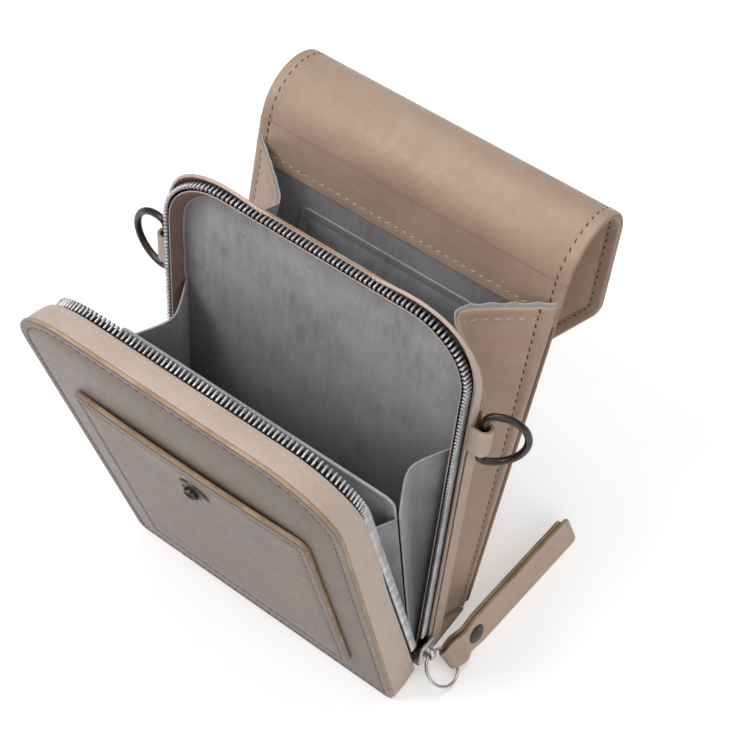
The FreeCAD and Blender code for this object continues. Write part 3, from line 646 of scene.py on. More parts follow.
def finished(mesh: bmesh.types.BMesh, name: str, skins: Sequence[Material], sharp: float = 50.0) -> Piece:
    """Turns a bmesh into a smooth-shaded object with its materials, linked to the scene."""
    data = bpy.data.meshes.new(name)
    for face in mesh.faces:
        face.smooth = True
    mesh.normal_update()
    mesh.to_mesh(data)
    mesh.free()
    for skin in skins:
        data.materials.append(skin)
    data.set_sharp_from_angle(angle=math.radians(sharp))
    thing = bpy.data.objects.new(name, data)
    bpy.context.scene.collection.objects.link(thing)
    return thing


def settle(thing: Piece, body: str, slot: str, *nodes: str) -> None:
    """Puts a piece on its CAD body, in place of its nodes."""
    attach(thing, body)
    if nodes:
        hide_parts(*nodes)
    LOG.info("%s: %d faces on %s", thing.name, len(thing.data.polygons), body)


def bridge(thing: Piece, slot: str, bodies: Tuple[str, str], start: Vector, stop: Vector, *nodes: str) -> None:
    """Puts a piece that spans two CAD bodies in place of its nodes, and bakes its transform into its mesh."""
    if nodes:
        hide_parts(*nodes)
    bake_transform(thing)
    LOG.info("%s: %d faces between %s and %s", thing.name, len(thing.data.polygons), *bodies)


def steps(start: float, end: float, pitch: float) -> List[float]:
    """Even places between two ends, without the ends themselves."""
    count = max(int(round((end - start) / pitch)), 1)
    return [start + (end - start) * i / count for i in range(1, count)]


def over(surface: Surface, reach: float = 0.05) -> Form:
    """A form that stands a thickness off a surface, along its normal."""
    def form(u: float, v: float, t: float) -> Vector:
        """The surface's point, moved out by t."""
        along = surface(u + reach, v) - surface(u - reach, v)
        up = surface(u, v + reach) - surface(u, v - reach)
        return surface(u, v) + along.cross(up).normalized() * t * MM
    return form


@dataclass(frozen=True)
class Arch:
    """The round-headed outline of a tray in a leaning frame, run from its right foot to its left foot."""

    lean: Lean
    depth: float
    half: float
    top: float
    radius: float
    foot: float = 0.0

    def lengths(self) -> List[float]:
        """The lengths of the right side, the two corners, the head and the left side."""
        side, turn = self.top - self.radius - self.foot, self.radius * math.pi / 2
        return [side, turn, 2 * (self.half - self.radius), turn, side]

    def locate(self, run: float) -> Tuple[int, float]:
        """The part of the outline that a run falls in, and the share of that part."""
        parts = self.lengths()
        for index, length in enumerate(parts):
            if run <= length or index == len(parts) - 1:
                return index, run / length
            run -= length
        return 0, 0.0

    def spot(self, part: int, share: float) -> Vector:
        """A place on the outline, in metres."""
        half, top, radius = self.half, self.top, self.radius
        if part in (0, 4):
            rise = share if part == 0 else 1 - share
            x, z = half, self.foot + (top - radius - self.foot) * rise
        elif part == 2:
            x, z = (half - radius) * (1 - 2 * share), top
        else:
            angle = math.pi / 2 * (share if part == 1 else 1 - share)
            x, z = half - radius + radius * math.cos(angle), top - radius + radius * math.sin(angle)
        return self.lean.at(-x if part > 2 else x, self.depth, z)


def arch_surface(near: Arch, far: Arch, bulge: float = 0.0) -> Tuple[Surface, float, float]:
    """The ruled surface between two outlines.

    Args:
        near: The outline at v 0.
        far: The outline at the full width.
        bulge: How far, in mm, the middle of the width swells away from the pouch's inside.

    Returns:
        The surface, the outline's length and the surface's width, in mm.
    """
    length = sum(near.lengths())
    width = (far.spot(2, 0.5) - near.spot(2, 0.5)).length / MM

    def surface(u: float, v: float) -> Vector:
        """A point between the two outlines."""
        part, share = near.locate(u)
        start, end = near.spot(part, share), far.spot(part, share)
        centre = near.lean.at(0, near.depth, near.top / 2)
        swell = start - centre
        swell.y = 0
        fall = min(max(v / width, 0.0), 1.0)
        return start.lerp(end, v / width) + swell.normalized() * bulge * MM * math.sin(math.pi * fall)
    return surface, length, width


# ---------------------------------------------------------------- what both trays have

def lining_corners(top: float) -> List[Corner]:
    """The outline of a tray's lining up to its round head."""
    return box_corners(-LINING_HALF, LINING_HALF, LINING_FOOT, top, 1.0, LINING_CORNER)


def floor_board(lean: Lean, near: float, far: float, paint: Palette, name: str, body: str, node: str) -> None:
    """The floor of a tray, between two depths of its frame."""
    board = Blank(box_corners(-FLOOR_HALF, FLOOR_HALF, near, far), FLOOR_BOARD).rim(0.25, 2)
    board.slices(steps(-55, 55, 10)).paint()
    board.laid(lean.at, name, paint.of("suede flesh dyed_edge dark_thread"), body, "board", node)


# ---------------------------------------------------------------- front tray

@dataclass
class FrontTray:
    """The front half of the wallet: panel, patch pocket, rim strip, floor and lining."""

    paint: Palette
    half: float = 57.5
    height: float = 172.0
    corner: float = 24.0
    leather: float = 1.6
    seam: float = 2.9
    patch_half: float = 43.5
    patch_seam: float = 2.4
    patch_low: float = 22.0
    patch_high: float = 132.0
    patch_leather: float = 2.1
    mouth_from: float = 118.0
    mouth_lift: float = 0.8
    strip_row: float = 2.4
    drawn_back: float = 0.9
    lining_top: float = 169.2

    def build(self) -> None:
        """Builds every piece of the tray."""
        self.panel()
        self.patch()
        self.strip()
        self.inside()

    def panel(self) -> None:
        """The front panel, sewn round its edge."""
        corners = box_corners(-self.half, self.half, 0.4, self.height, 4.0, self.corner)
        piece = Blank(corners, self.leather).rim(0.6).groove(self.seam)
        piece.slices(up=steps(0, self.height, 20)).paint()
        piece.stitch(inside_line(corners, self.seam), Sewing.SEAM, closed=True)
        piece.laid(lambda u, v, t: FACE.at(u, -t, v), "front_leather", self.paint.of("panel flesh edge dark_thread"),
                   "front", "panel_leather", "front_panel")

    def patch(self) -> None:
        """The patch pocket, whose mouth stands a little open."""
        corners = box_corners(-self.patch_half, self.patch_half, self.patch_low, self.patch_high, 4.0, 4.0)
        piece = Blank(corners, self.patch_leather, self.leather + 0.1).rim(0.8).groove(self.patch_seam)
        piece.slices(steps(-self.patch_half, self.patch_half, 6), steps(self.patch_low, self.patch_high, 8)).paint()
        top = self.patch_high - self.patch_seam - 0.5
        piece.stitch(inside_line(corners, self.patch_seam), Sewing.SEAM, closed=True, keep=lambda spot: spot.y < top)
        for side in (-1, 1):
            tack = straight(side * (self.patch_half - 8.0), top, side * (self.patch_half - 2.6), top)
            piece.stitch(tack, Sewing.TACK)

        def form(u: float, v: float, t: float) -> Vector:
            """The pocket's face, lifted towards the middle of its mouth."""
            mouth = smooth((v - self.mouth_from) / (self.patch_high - self.mouth_from))
            lift = self.mouth_lift * (1 - (u / self.patch_half) ** 2) * mouth
            return FACE.at(u, -t - max(lift, 0.0), v)
        piece.laid(form, "pocket_leather", self.paint.of("panel flesh edge dark_thread"), "front", "panel_leather",
                   "front_pocket")

    def strip(self) -> None:
        """The rim strip between the panel and the zip."""
        near = Arch(FRONT, -3.0, self.half - 0.5, 166.3, self.corner - 0.5)
        far = Arch(FACE, 0.0, self.half - 0.5, self.height - 0.5, self.corner - 0.5)
        surface, length, width = arch_surface(near, far, 0.5)
        piece = Blank(box_corners(0, length, 0, width), 1.2, -1.2).rim(0.35)
        piece.slices(steps(0, length, 4.0), steps(0, width, 2.4)).paint()
        piece.stitch(straight(0, self.strip_row, length, self.strip_row), Sewing.STRIP)

        def drawn(u: float, v: float) -> Vector:
            """The strip, drawn back from the teeth along the two sides."""
            back = self.drawn_back * smooth((abs(2 * u / length - 1) - 0.45) / 0.15)
            return surface(u, v + back * (1 - v / width))
        piece.laid(over(drawn), "front_strip_leather", self.paint.of("strip flesh strip pale_thread"), "front",
                   "strip_leather", "front_gusset")

    def inside(self) -> None:
        """The lining behind the panel and the tray's floor."""
        corners = lining_corners(self.lining_top)
        piece = Blank(corners, CLOTH).rim(0.2, 2).groove(3.0).slices(up=steps(2, 169, 20)).paint()
        thing = piece.laid(lambda u, v, t: FACE.at(u, t, v), "front_lining_suede",
                           self.paint.of("suede suede binding grey_thread"), "front", "grey_lining", "front_lining")
        floor_board(FRONT, -16.3, -0.35, self.paint, "front_floor_leather", "front", "front_base")


# ---------------------------------------------------------------- middle tray

@dataclass
class MiddleTray:
    """The fixed half of the wallet: strip, panel, linings, floor, base, ring tabs and side leather."""

    paint: Palette
    half: float = 57.0
    radius: float = 23.5
    rim_top: float = 166.3
    height: float = 159.0
    depth: float = 7.5
    leather: float = 1.2
    seam: float = 3.5
    sag: float = 1.7
    corner_fill: float = 0.7
    lining_top: float = 157.5
    wallet_row: float = 11.0
    wall_front: float = 3.4
    wall_rear: float = 9.3
    wall_top: float = 130.0
    tab_reach: float = 3.4
    tab_bend: float = 2.9
    tab_depth: float = 5.8
    tab_low: float = 116.5
    tab_width: float = 11.0
    tab_row: float = 1.6
    tab_leather: float = 1.1

    def build(self) -> None:
        """Builds every piece of the tray."""
        self.strip()
        self.panel()
        self.linings()
        self.base()
        for side in (1, -1):
            self.tab(side)
            self.wall(side)

    def wall(self, side: int) -> None:
        """The side leather that runs from the gusset over the strip's wall up to the zip."""
        end = "right" if side > 0 else "left"
        front, rear, top = self.wall_front, self.wall_rear, self.wall_top
        corners = [Corner(front, 3.0, 0.6), Corner(rear, 3.0), Corner(rear, top, 0.6), Corner(8.0, top, 0.6),
                   Corner(front, top - 16.0, 12.0)]
        piece = Blank(corners, 0.45, 0.35).rim(0.2, 2).slices(up=steps(3, top, 6)).paint()
        piece.laid(lambda u, v, t: MID.at(side * (self.half + t), u, v), f"side_{end}_leather",
                   self.paint.of("shell flesh dyed_edge dark_thread"), "middle", "shell_leather")

    def strip(self) -> None:
        """The rim strip between the zip and the middle panel."""
        near = Arch(MID, 3.0, self.half, self.rim_top, self.radius)
        far = Arch(MID, self.depth, self.half, self.height, self.radius)
        ruled, length, width = arch_surface(near, far, 0.3)

        def surface(u: float, v: float) -> Vector:
            """The strip, sunk along the head and filled out round its two corners."""
            part, share = near.locate(min(max(u, 0.0), length))
            swell = math.sin(math.pi * min(max(share, 0.0), 1.0)) ** 2
            if part == 2:
                return ruled(u, v) - MID.way(0, 0, self.sag * smooth(share / 0.3) * smooth((1 - share) / 0.3)) * MM
            if part in (1, 3):
                fill = self.corner_fill * swell
                return ruled(u, v) + MID.way(fill if part == 1 else -fill, 0, fill) * MM
            return ruled(u, v)
        piece = Blank(box_corners(0, length, 0, width), self.leather).rim(0.35)
        piece.slices(steps(0, length, 4.0), steps(0, width, 2.4)).paint()
        piece.laid(over(surface), "middle_strip_leather", self.paint.of("flesh strip strip pale_thread"), "middle",
                   "strip_leather", "mid_gusset")

    def panel(self) -> None:
        """The leather panel between the wallet and the phone pocket."""
        corners = box_corners(-self.half, self.half, 0, self.height, 1.0, self.radius)
        piece = Blank(corners, self.leather).rim(0.35).groove(self.seam).slices(up=steps(0, self.height, 20)).paint()
        piece.stitch(inside_line(corners, self.seam), Sewing.SEAM, closed=True)
        piece.laid(lambda u, v, t: MID.at(u, self.depth + t, v), "middle_leather",
                   self.paint.of("shell flesh edge dark_thread"), "middle", "shell_leather", "mid_panel")

    def linings(self) -> None:
        """The grey lining on the wallet's side and the dark one on the phone's side."""
        corners = lining_corners(self.lining_top)
        piece = Blank(corners, CLOTH).rim(0.2, 2).slices(up=steps(2, 157, 20)).paint()
        piece.stitch(inside_line(corners, self.wallet_row), Sewing.WALLET, closed=True,
                     keep=lambda spot: spot.y > 120)
        thing = piece.laid(lambda u, v, t: MID.at(u, self.depth - t, v), "wallet_lining_suede",
                           self.paint.of("suede suede binding pale_thread"), "middle", "grey_lining", "mid_lining")
        piece = Blank(corners, CLOTH).rim(0.2, 2).groove(4.0).slices(up=steps(2, 157, 20)).paint()
        thing = piece.laid(lambda u, v, t: MID.at(u, self.depth + self.leather + t, v), "phone_lining_satin",
                           self.paint.of("satin satin binding grey_thread"), "middle", "dark_lining", "phone_lining")

    def base(self) -> None:
        """The floor of the tray and the base strip that the pouch stands on."""
        floor_board(MID, 0.35, 6.85, self.paint, "middle_floor_leather", "middle", "mid_base")
        turn = math.radians(-MID.turn)
        under_mid, under_spine = -12 + 8.7 * math.cos(turn), -12 + 0.3 * math.cos(turn)
        profile = [Corner(-14, 0, 0.7), Corner(13.5, 0, 0.7), Corner(13.5, 1.6, 0.4),
                   Corner(under_mid, 3.6 - 8.7 * math.sin(turn)), Corner(under_spine, 3.6 - 0.3 * math.sin(turn)),
                   Corner(-14, 1.6, 0.4)]
        piece = Blank(profile, 2 * self.half, -self.half).rim(0.5).paint()
        piece.laid(lambda u, v, t: Vector((t, u, v)) * MM, "base_leather",
                   self.paint.of("edge edge shell dark_thread"), "middle", "shell_leather", "base_strip")

    def tab(self, side: int) -> None:
        """The leather loop that holds a strap ring on one side."""
        end = "right" if side > 0 else "left"
        reach, radius = self.tab_reach, self.tab_bend
        length = 2 * reach + math.pi * radius

        def surface(u: float, v: float) -> Vector:
            """The loop's outer face, out from the strip, round the ring's bar and back."""
            if u < reach:
                x, y = u, -radius
            elif u > length - reach:
                x, y = length - u, radius
            else:
                angle = (u - reach) / radius - math.pi / 2
                x, y = reach + radius * math.cos(angle), radius * math.sin(angle)
            return MID.at(side * (self.half + x), self.tab_depth + y, self.tab_low + v)
        below = -self.tab_leather if side > 0 else 0.0
        piece = Blank(box_corners(0, length, 0, self.tab_width), self.tab_leather, below).rim(0.3, 2)
        piece.slices(across=steps(0, length, 0.7)).paint()
        for row in (self.tab_row, self.tab_width - self.tab_row):
            piece.stitch(straight(0.4, row, length - 0.4, row), Sewing.TAB, upper=side > 0)
        skins = self.paint.of("strip flesh edge pale_thread")
        if side < 0:
            skins = (skins[1], skins[0], *skins[2:])
        piece.laid(over(surface), f"ring_loop_{end}", skins, "middle", "strip_leather", f"ring_tab_{end}")


# ---------------------------------------------------------------- zip

@dataclass
class Zip:
    """The two halves of the zip: woven tapes, leather facings, bound lining edges and rows of metal teeth."""

    paint: Palette
    half: float = 55.7
    top: float = 164.7
    radius: float = 22.2
    foot: float = 1.7
    edge: float = 2.6
    reach: float = 6.5
    pitch: float = 1.6
    start: float = 12.0
    tooth_width: float = 0.74
    tooth_height: float = 1.3
    tooth_bevel: float = 0.24
    tape_sheet: float = 0.75
    facing_sheet: float = 0.5
    facing_inset: float = 1.65
    binding_width: float = 1.6

    def build(self) -> None:
        """Builds the tapes with their facings, and the teeth, of both halves."""
        self.tape(FRONT, -1, 0.649, "front", "zip_tape_front")
        self.tape(MID, 1, -1.62, "middle", "zip_tape_rear")
        self.teeth(FRONT, -1, 0.75, "front", "zip_teeth_front")
        self.teeth(MID, 1, 0.25, "middle", "zip_teeth_rear")

    def tape(self, lean: Lean, side: int, slope: float, body: str, node: str) -> None:
        """One tape, from beside its teeth to under its strip."""
        near = Arch(lean, side * self.edge, self.half, self.top, self.radius, self.foot)
        far = Arch(lean, side * self.reach, self.half, self.top + slope * (self.reach - self.edge), self.radius,
                   self.foot)
        surface, length, width = arch_surface(near, far)
        below = -self.tape_sheet if side < 0 else 0.0
        piece = Blank(box_corners(0, length, 0, width), self.tape_sheet, below).rim(0.25, 2)
        piece.slices(steps(0, length, 4.0), steps(0, width, 3.0)).paint()
        piece.laid(over(surface), node.replace("zip_", "") + "_weave", self.paint.of("tape") * 4, body, "tape", node)
        self.facing(lean, side, slope, body)

    def facing(self, lean: Lean, side: int, slope: float, body: str) -> None:
        """The leather facing inside a tape, from under the teeth, and the bound edge of the lining beside it."""
        inner, sheet = self.facing_inset, self.facing_sheet
        near = Arch(lean, side * 0.1, self.half - inner, self.top - inner, self.radius - inner, self.foot)
        far = Arch(lean, side * (self.reach + 0.25), self.half - inner,
                   self.top - inner + slope * (self.reach - self.edge), self.radius - inner, self.foot)
        surface, length, width = arch_surface(near, far)
        facing = Blank(box_corners(0, length, 0, width), sheet, -sheet if side < 0 else 0.0).rim(0.2, 2)
        facing.slices(steps(0, length, 4.0)).paint()
        faces = self.paint.of("tape flesh") if side < 0 else self.paint.of("flesh tape")
        facing.laid(over(surface), f"{body}_facing_leather", (*faces, *self.paint.of("strip pale_thread")), body,
                    "strip_leather")
        hem = box_corners(0, length, width - self.binding_width, width)
        bound = Blank(hem, 0.4, -0.95 if side < 0 else 0.55).rim(0.16, 2)
        bound.slices(steps(0, length, 2.0)).paint()
        laid = over(surface)
        bound.laid(lambda u, v, t: laid(u, v - 0.35 * math.sin(u * 0.31) * math.sin(u * 0.13), t),
                   f"{body}_lining_binding", self.paint.of("binding") * 4, body, "grey_lining")

    def teeth(self, lean: Lean, side: int, stagger: float, body: str, node: str) -> None:
        """One row of teeth along its tape's edge, each a rounded clasp."""
        chain = Arch(lean, 0.0, self.half - 0.4, self.top - 0.4, self.radius - 0.4, self.start)
        length = sum(chain.lengths())
        mesh = bmesh.new()
        size = Vector((self.tooth_width, self.edge + 0.5, self.tooth_height))
        for number in range(int(length / self.pitch)):
            run = (number + stagger) * self.pitch
            part, share = chain.locate(run)
            here = chain.spot(part, share)
            ahead_part, ahead_share = chain.locate(min(run + 0.2, length))
            back_part, back_share = chain.locate(max(run - 0.2, 0.0))
            along = (chain.spot(ahead_part, ahead_share) - chain.spot(back_part, back_share)).normalized()
            deep = lean.way(0, side, 0)
            axes = Matrix((along, deep, along.cross(deep))).transposed().to_4x4()
            offset = deep * ((self.edge - 0.5) / 2 * MM)
            matrix = Matrix.Translation(here + offset) @ axes @ Matrix.Diagonal((*(size * MM), 1))
            bmesh.ops.create_cube(mesh, size=1.0, matrix=matrix)
        bmesh.ops.bevel(mesh, geom=mesh.edges[:], offset=self.tooth_bevel * MM, offset_type="OFFSET", affect="EDGES",
                        segments=1, profile=0.5, material=-1)
        thing = finished(mesh, node.replace("zip_", "") + "_row", self.paint.of("teeth"), 80.0)
        settle(thing, body, "teeth", node)


# ---------------------------------------------------------------- card divider and its bellows

@dataclass(frozen=True)
class Fold:
    """A creased side piece between two leaning planes: heights, side, and how deep it folds."""

    low: float
    high: float
    outer: float
    fold_low: float
    fold_high: float
    front: Tuple[Lean, float]
    rear: Tuple[Lean, float]
    softness: float = 0.25
    rise_power: float = 1.0

    def surface(self, side: int, width: float) -> Surface:
        """The creased sheet; u runs from the front plane to the rear one, v up from its foot."""
        def place(u: float, v: float) -> Vector:
            """A point of the sheet, in metres."""
            share, rise = u / width, v / (self.high - self.low)
            height = self.low + v
            crease = math.sqrt((2 * share - 1) ** 2 + self.softness ** 2)
            ease = math.sqrt(1 + self.softness ** 2)
            deep = self.fold_low + (self.fold_high - self.fold_low) * max(rise, 0.0) ** self.rise_power
            depth = deep * (ease - crease) / (ease - self.softness)
            front = self.front[0].line(self.front[1], height)
            rear = self.rear[0].line(self.rear[1], height)
            return Vector((side * (self.outer - depth), front + (rear - front) * share, height)) * MM
        return place


@dataclass
class CardPockets:
    """The divider in the wallet and the folded bellows at its two sides."""

    paint: Palette
    half: float = 52.3
    foot: float = 1.7
    height: float = 120.0
    sheet: float = 1.1
    seam: float = 3.2
    fold_sheet: float = 0.75
    rear_width: float = 26.0
    front_width: float = 21.0
    rear_fold: Fold = Fold(10.0, 114.0, 53.4, 1.5, 7.0, (DIVIDER, -0.7), (MID, 6.6))
    front_fold: Fold = Fold(10.0, 114.0, 53.4, 1.5, 5.0, (FACE, 0.9), (DIVIDER, -2.5))

    def build(self) -> None:
        """Builds the divider and four bellows."""
        self.divider()
        for side, end in ((1, "right"), (-1, "left")):
            self.bellows(side, end)

    def divider(self) -> None:
        """The card divider with its bound top edge."""
        corners = box_corners(-self.half, self.half, self.foot, self.height, 1.0, 4.0)
        piece = Blank(corners, self.sheet).rim(0.35, 2).groove(self.seam).groove(self.seam, upper=False)
        piece.slices(steps(-self.half, self.half, 8), steps(2, 120, 10)).paint()
        for upper in (True, False):
            piece.stitch(inside_line(corners, self.seam), Sewing.DIVIDER, upper=upper, closed=True,
                         keep=lambda spot: spot.y > 114)
        thing = piece.laid(lambda u, v, t: DIVIDER.at(u, -1.05 - t, v), "divider_suede",
                           self.paint.of("suede suede binding grey_thread"), "divider", "grey_lining", "card_divider")

    def bellows(self, side: int, end: str) -> None:
        """The two folded leaves at one end of the divider."""
        skins = self.paint.of("suede suede binding grey_thread")
        for kind, fold, width in (("rear", self.rear_fold, self.rear_width),
                                  ("front", self.front_fold, self.front_width)):
            tall, below = fold.high - fold.low, 0.0 if side < 0 else -self.fold_sheet
            piece = Blank(box_corners(0, width, 0, tall), self.fold_sheet, below).rim(0.25, 2)
            piece.slices(steps(0, width, 1.4), steps(0, tall, 8)).paint()
            thing = piece.formed(over(fold.surface(side, width)), f"bellows_{kind}_{end}_suede", skins)
            node = f"bellows_{kind}_{end}"
            if kind == "rear":
                bridge(thing, "grey_lining", ("divider", "middle"), DIVIDER.at(0, -0.7, 60), MID.at(0, 6.6, 60), node)
            else:
                settle(thing, "front", "grey_lining", node)
                FACE.at(0, 0.9, 60)
                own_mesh(thing)


# ---------------------------------------------------------------- phone pocket

@dataclass
class PhonePocket:
    """The pocket behind the wallet: creased leather gussets, dark lining and a slip pocket."""

    paint: Palette
    fold: Fold = Fold(4.4, 139.0, 57.0, 3.0, 22.0, (MID, 9.0), (BACK, -1.5), 0.16, 1.25)
    width: float = 52.0
    leather: float = 0.9
    bead_row: float = 4.2
    top_row: float = 4.0
    satin: float = 0.55
    slip_half: float = 37.0
    slip_low: float = 62.0
    slip_high: float = 126.0
    slip_seam: float = 2.6

    def build(self) -> None:
        """Builds the gussets, the lining and the slip pocket."""
        for side, end in ((1, "right"), (-1, "left")):
            self.gusset(side, end)
        self.lining()

    def gusset(self, side: int, end: str) -> None:
        """One gusset of leather, sewn below its top edge, with its own lining inside."""
        tall = self.fold.high - self.fold.low
        surface = self.fold.surface(side, self.width)
        flip = side < 0
        corners = box_corners(0, self.width, 0, tall)
        piece = Blank(corners, self.leather, 0.0 if flip else -self.leather).rim(0.3, 2)
        piece.slices(steps(0, self.width, 1.3) + [self.width - w for w in (5.2, 4.2, 3.4, 2.6, 1.7, 0.9)],
                     steps(0, tall, 6) + [tall - h for h in (3.2, 2.7, 2.0, 1.2)]).paint()
        row = straight(0.8, tall - self.top_row, self.width - 4.6, tall - self.top_row)
        piece.stitch(row, Sewing.TOPSTITCH, upper=not flip, sink=0.0)
        beside = self.width - self.bead_row
        piece.stitch(straight(beside, 3.0, beside, tall - 1.0), Sewing.BEAD, upper=not flip, sink=0.0, skin=Skin.SEAM)
        skins = self.paint.of("shell flesh shell pale_thread dark_thread")
        if flip:
            skins = (skins[1], skins[0], *skins[2:])
        laid = over(surface)

        def beaded(u: float, v: float, t: float) -> Vector:
            """The leather with its rolled top edge and the turned bead along the back."""
            rolled = max(0.0, 1 - ((tall - 1.2 - v) / 1.5) ** 2) * 0.5
            turned_in = max(0.0, 1 - ((self.width - 1.7 - u) / 1.9) ** 2) * 0.7
            pressed = max(0.0, 1 - (beside - u) ** 2) * 0.25
            out = max(rolled, turned_in) - pressed
            outer = t > self.leather / 2 if flip else t > -self.leather / 2
            return laid(u, v, t + (out if not flip else 0.0) * outer - (out if flip else 0.0) * (not outer))
        thing = piece.formed(beaded, f"gusset_{end}_leather", skins)
        start, stop = MID.at(0, 9.0, 70), BACK.at(0, -1.5, 70)
        bridge(thing, "shell_leather", ("middle", "back"), start, stop, f"phone_gusset_{end}")

        lined = Blank(corners, 0.35, 1.0 if flip else -1.35).rim(0.1, 2)
        lined.slices(steps(0, self.width, 1.3), steps(0, tall, 6)).paint()

        def wavy(u: float, v: float) -> Vector:
            """The lining's sheet, whose free edge stands above the leather and waves a little."""
            rise = smooth((v - tall + 10) / 10)
            return surface(u, v) + Vector((0, 0, rise * (1.4 + 0.45 * math.sin(u * 1.1)) * MM))
        inner = lined.formed(over(wavy), f"gusset_{end}_lining", self.paint.of("binding") * 4)
        bridge(inner, "grey_lining", ("middle", "back"), start, stop)

    def lining(self) -> None:
        """The dark lining of the back panel and the slip pocket sewn to it."""
        skins = self.paint.of("satin satin binding grey_thread")
        corners = box_corners(-LINING_HALF, LINING_HALF, 4.0, 133.9, 4.0, 0.5)
        piece = Blank(corners, self.satin).rim(0.2, 2).slices(steps(-55, 55, 10), steps(4, 134, 12)).paint()
        thing = piece.laid(lambda u, v, t: BACK.at(u, -t, v), "back_lining_satin", skins, "back", "dark_lining",
                           "back_lining")
        half, low, high = self.slip_half, self.slip_low, self.slip_high
        corners = box_corners(-half, half, low, high, 3.4, 3.4)
        piece = Blank(corners, self.satin, 0.6).rim(0.2, 2).groove(self.slip_seam, depth=0.15)
        piece.slices(steps(-half, half, 6), steps(low, high, 8)).paint()
        piece.stitch(inside_line(corners, self.slip_seam), Sewing.SLIP, closed=True,
                     keep=lambda spot: spot.y < high - 3)
        thing = piece.laid(lambda u, v, t: BACK.at(u, -t, v), "slip_pocket_satin", skins, "back", "dark_lining",
                           "slip_pocket")


# ---------------------------------------------------------------- back and flap

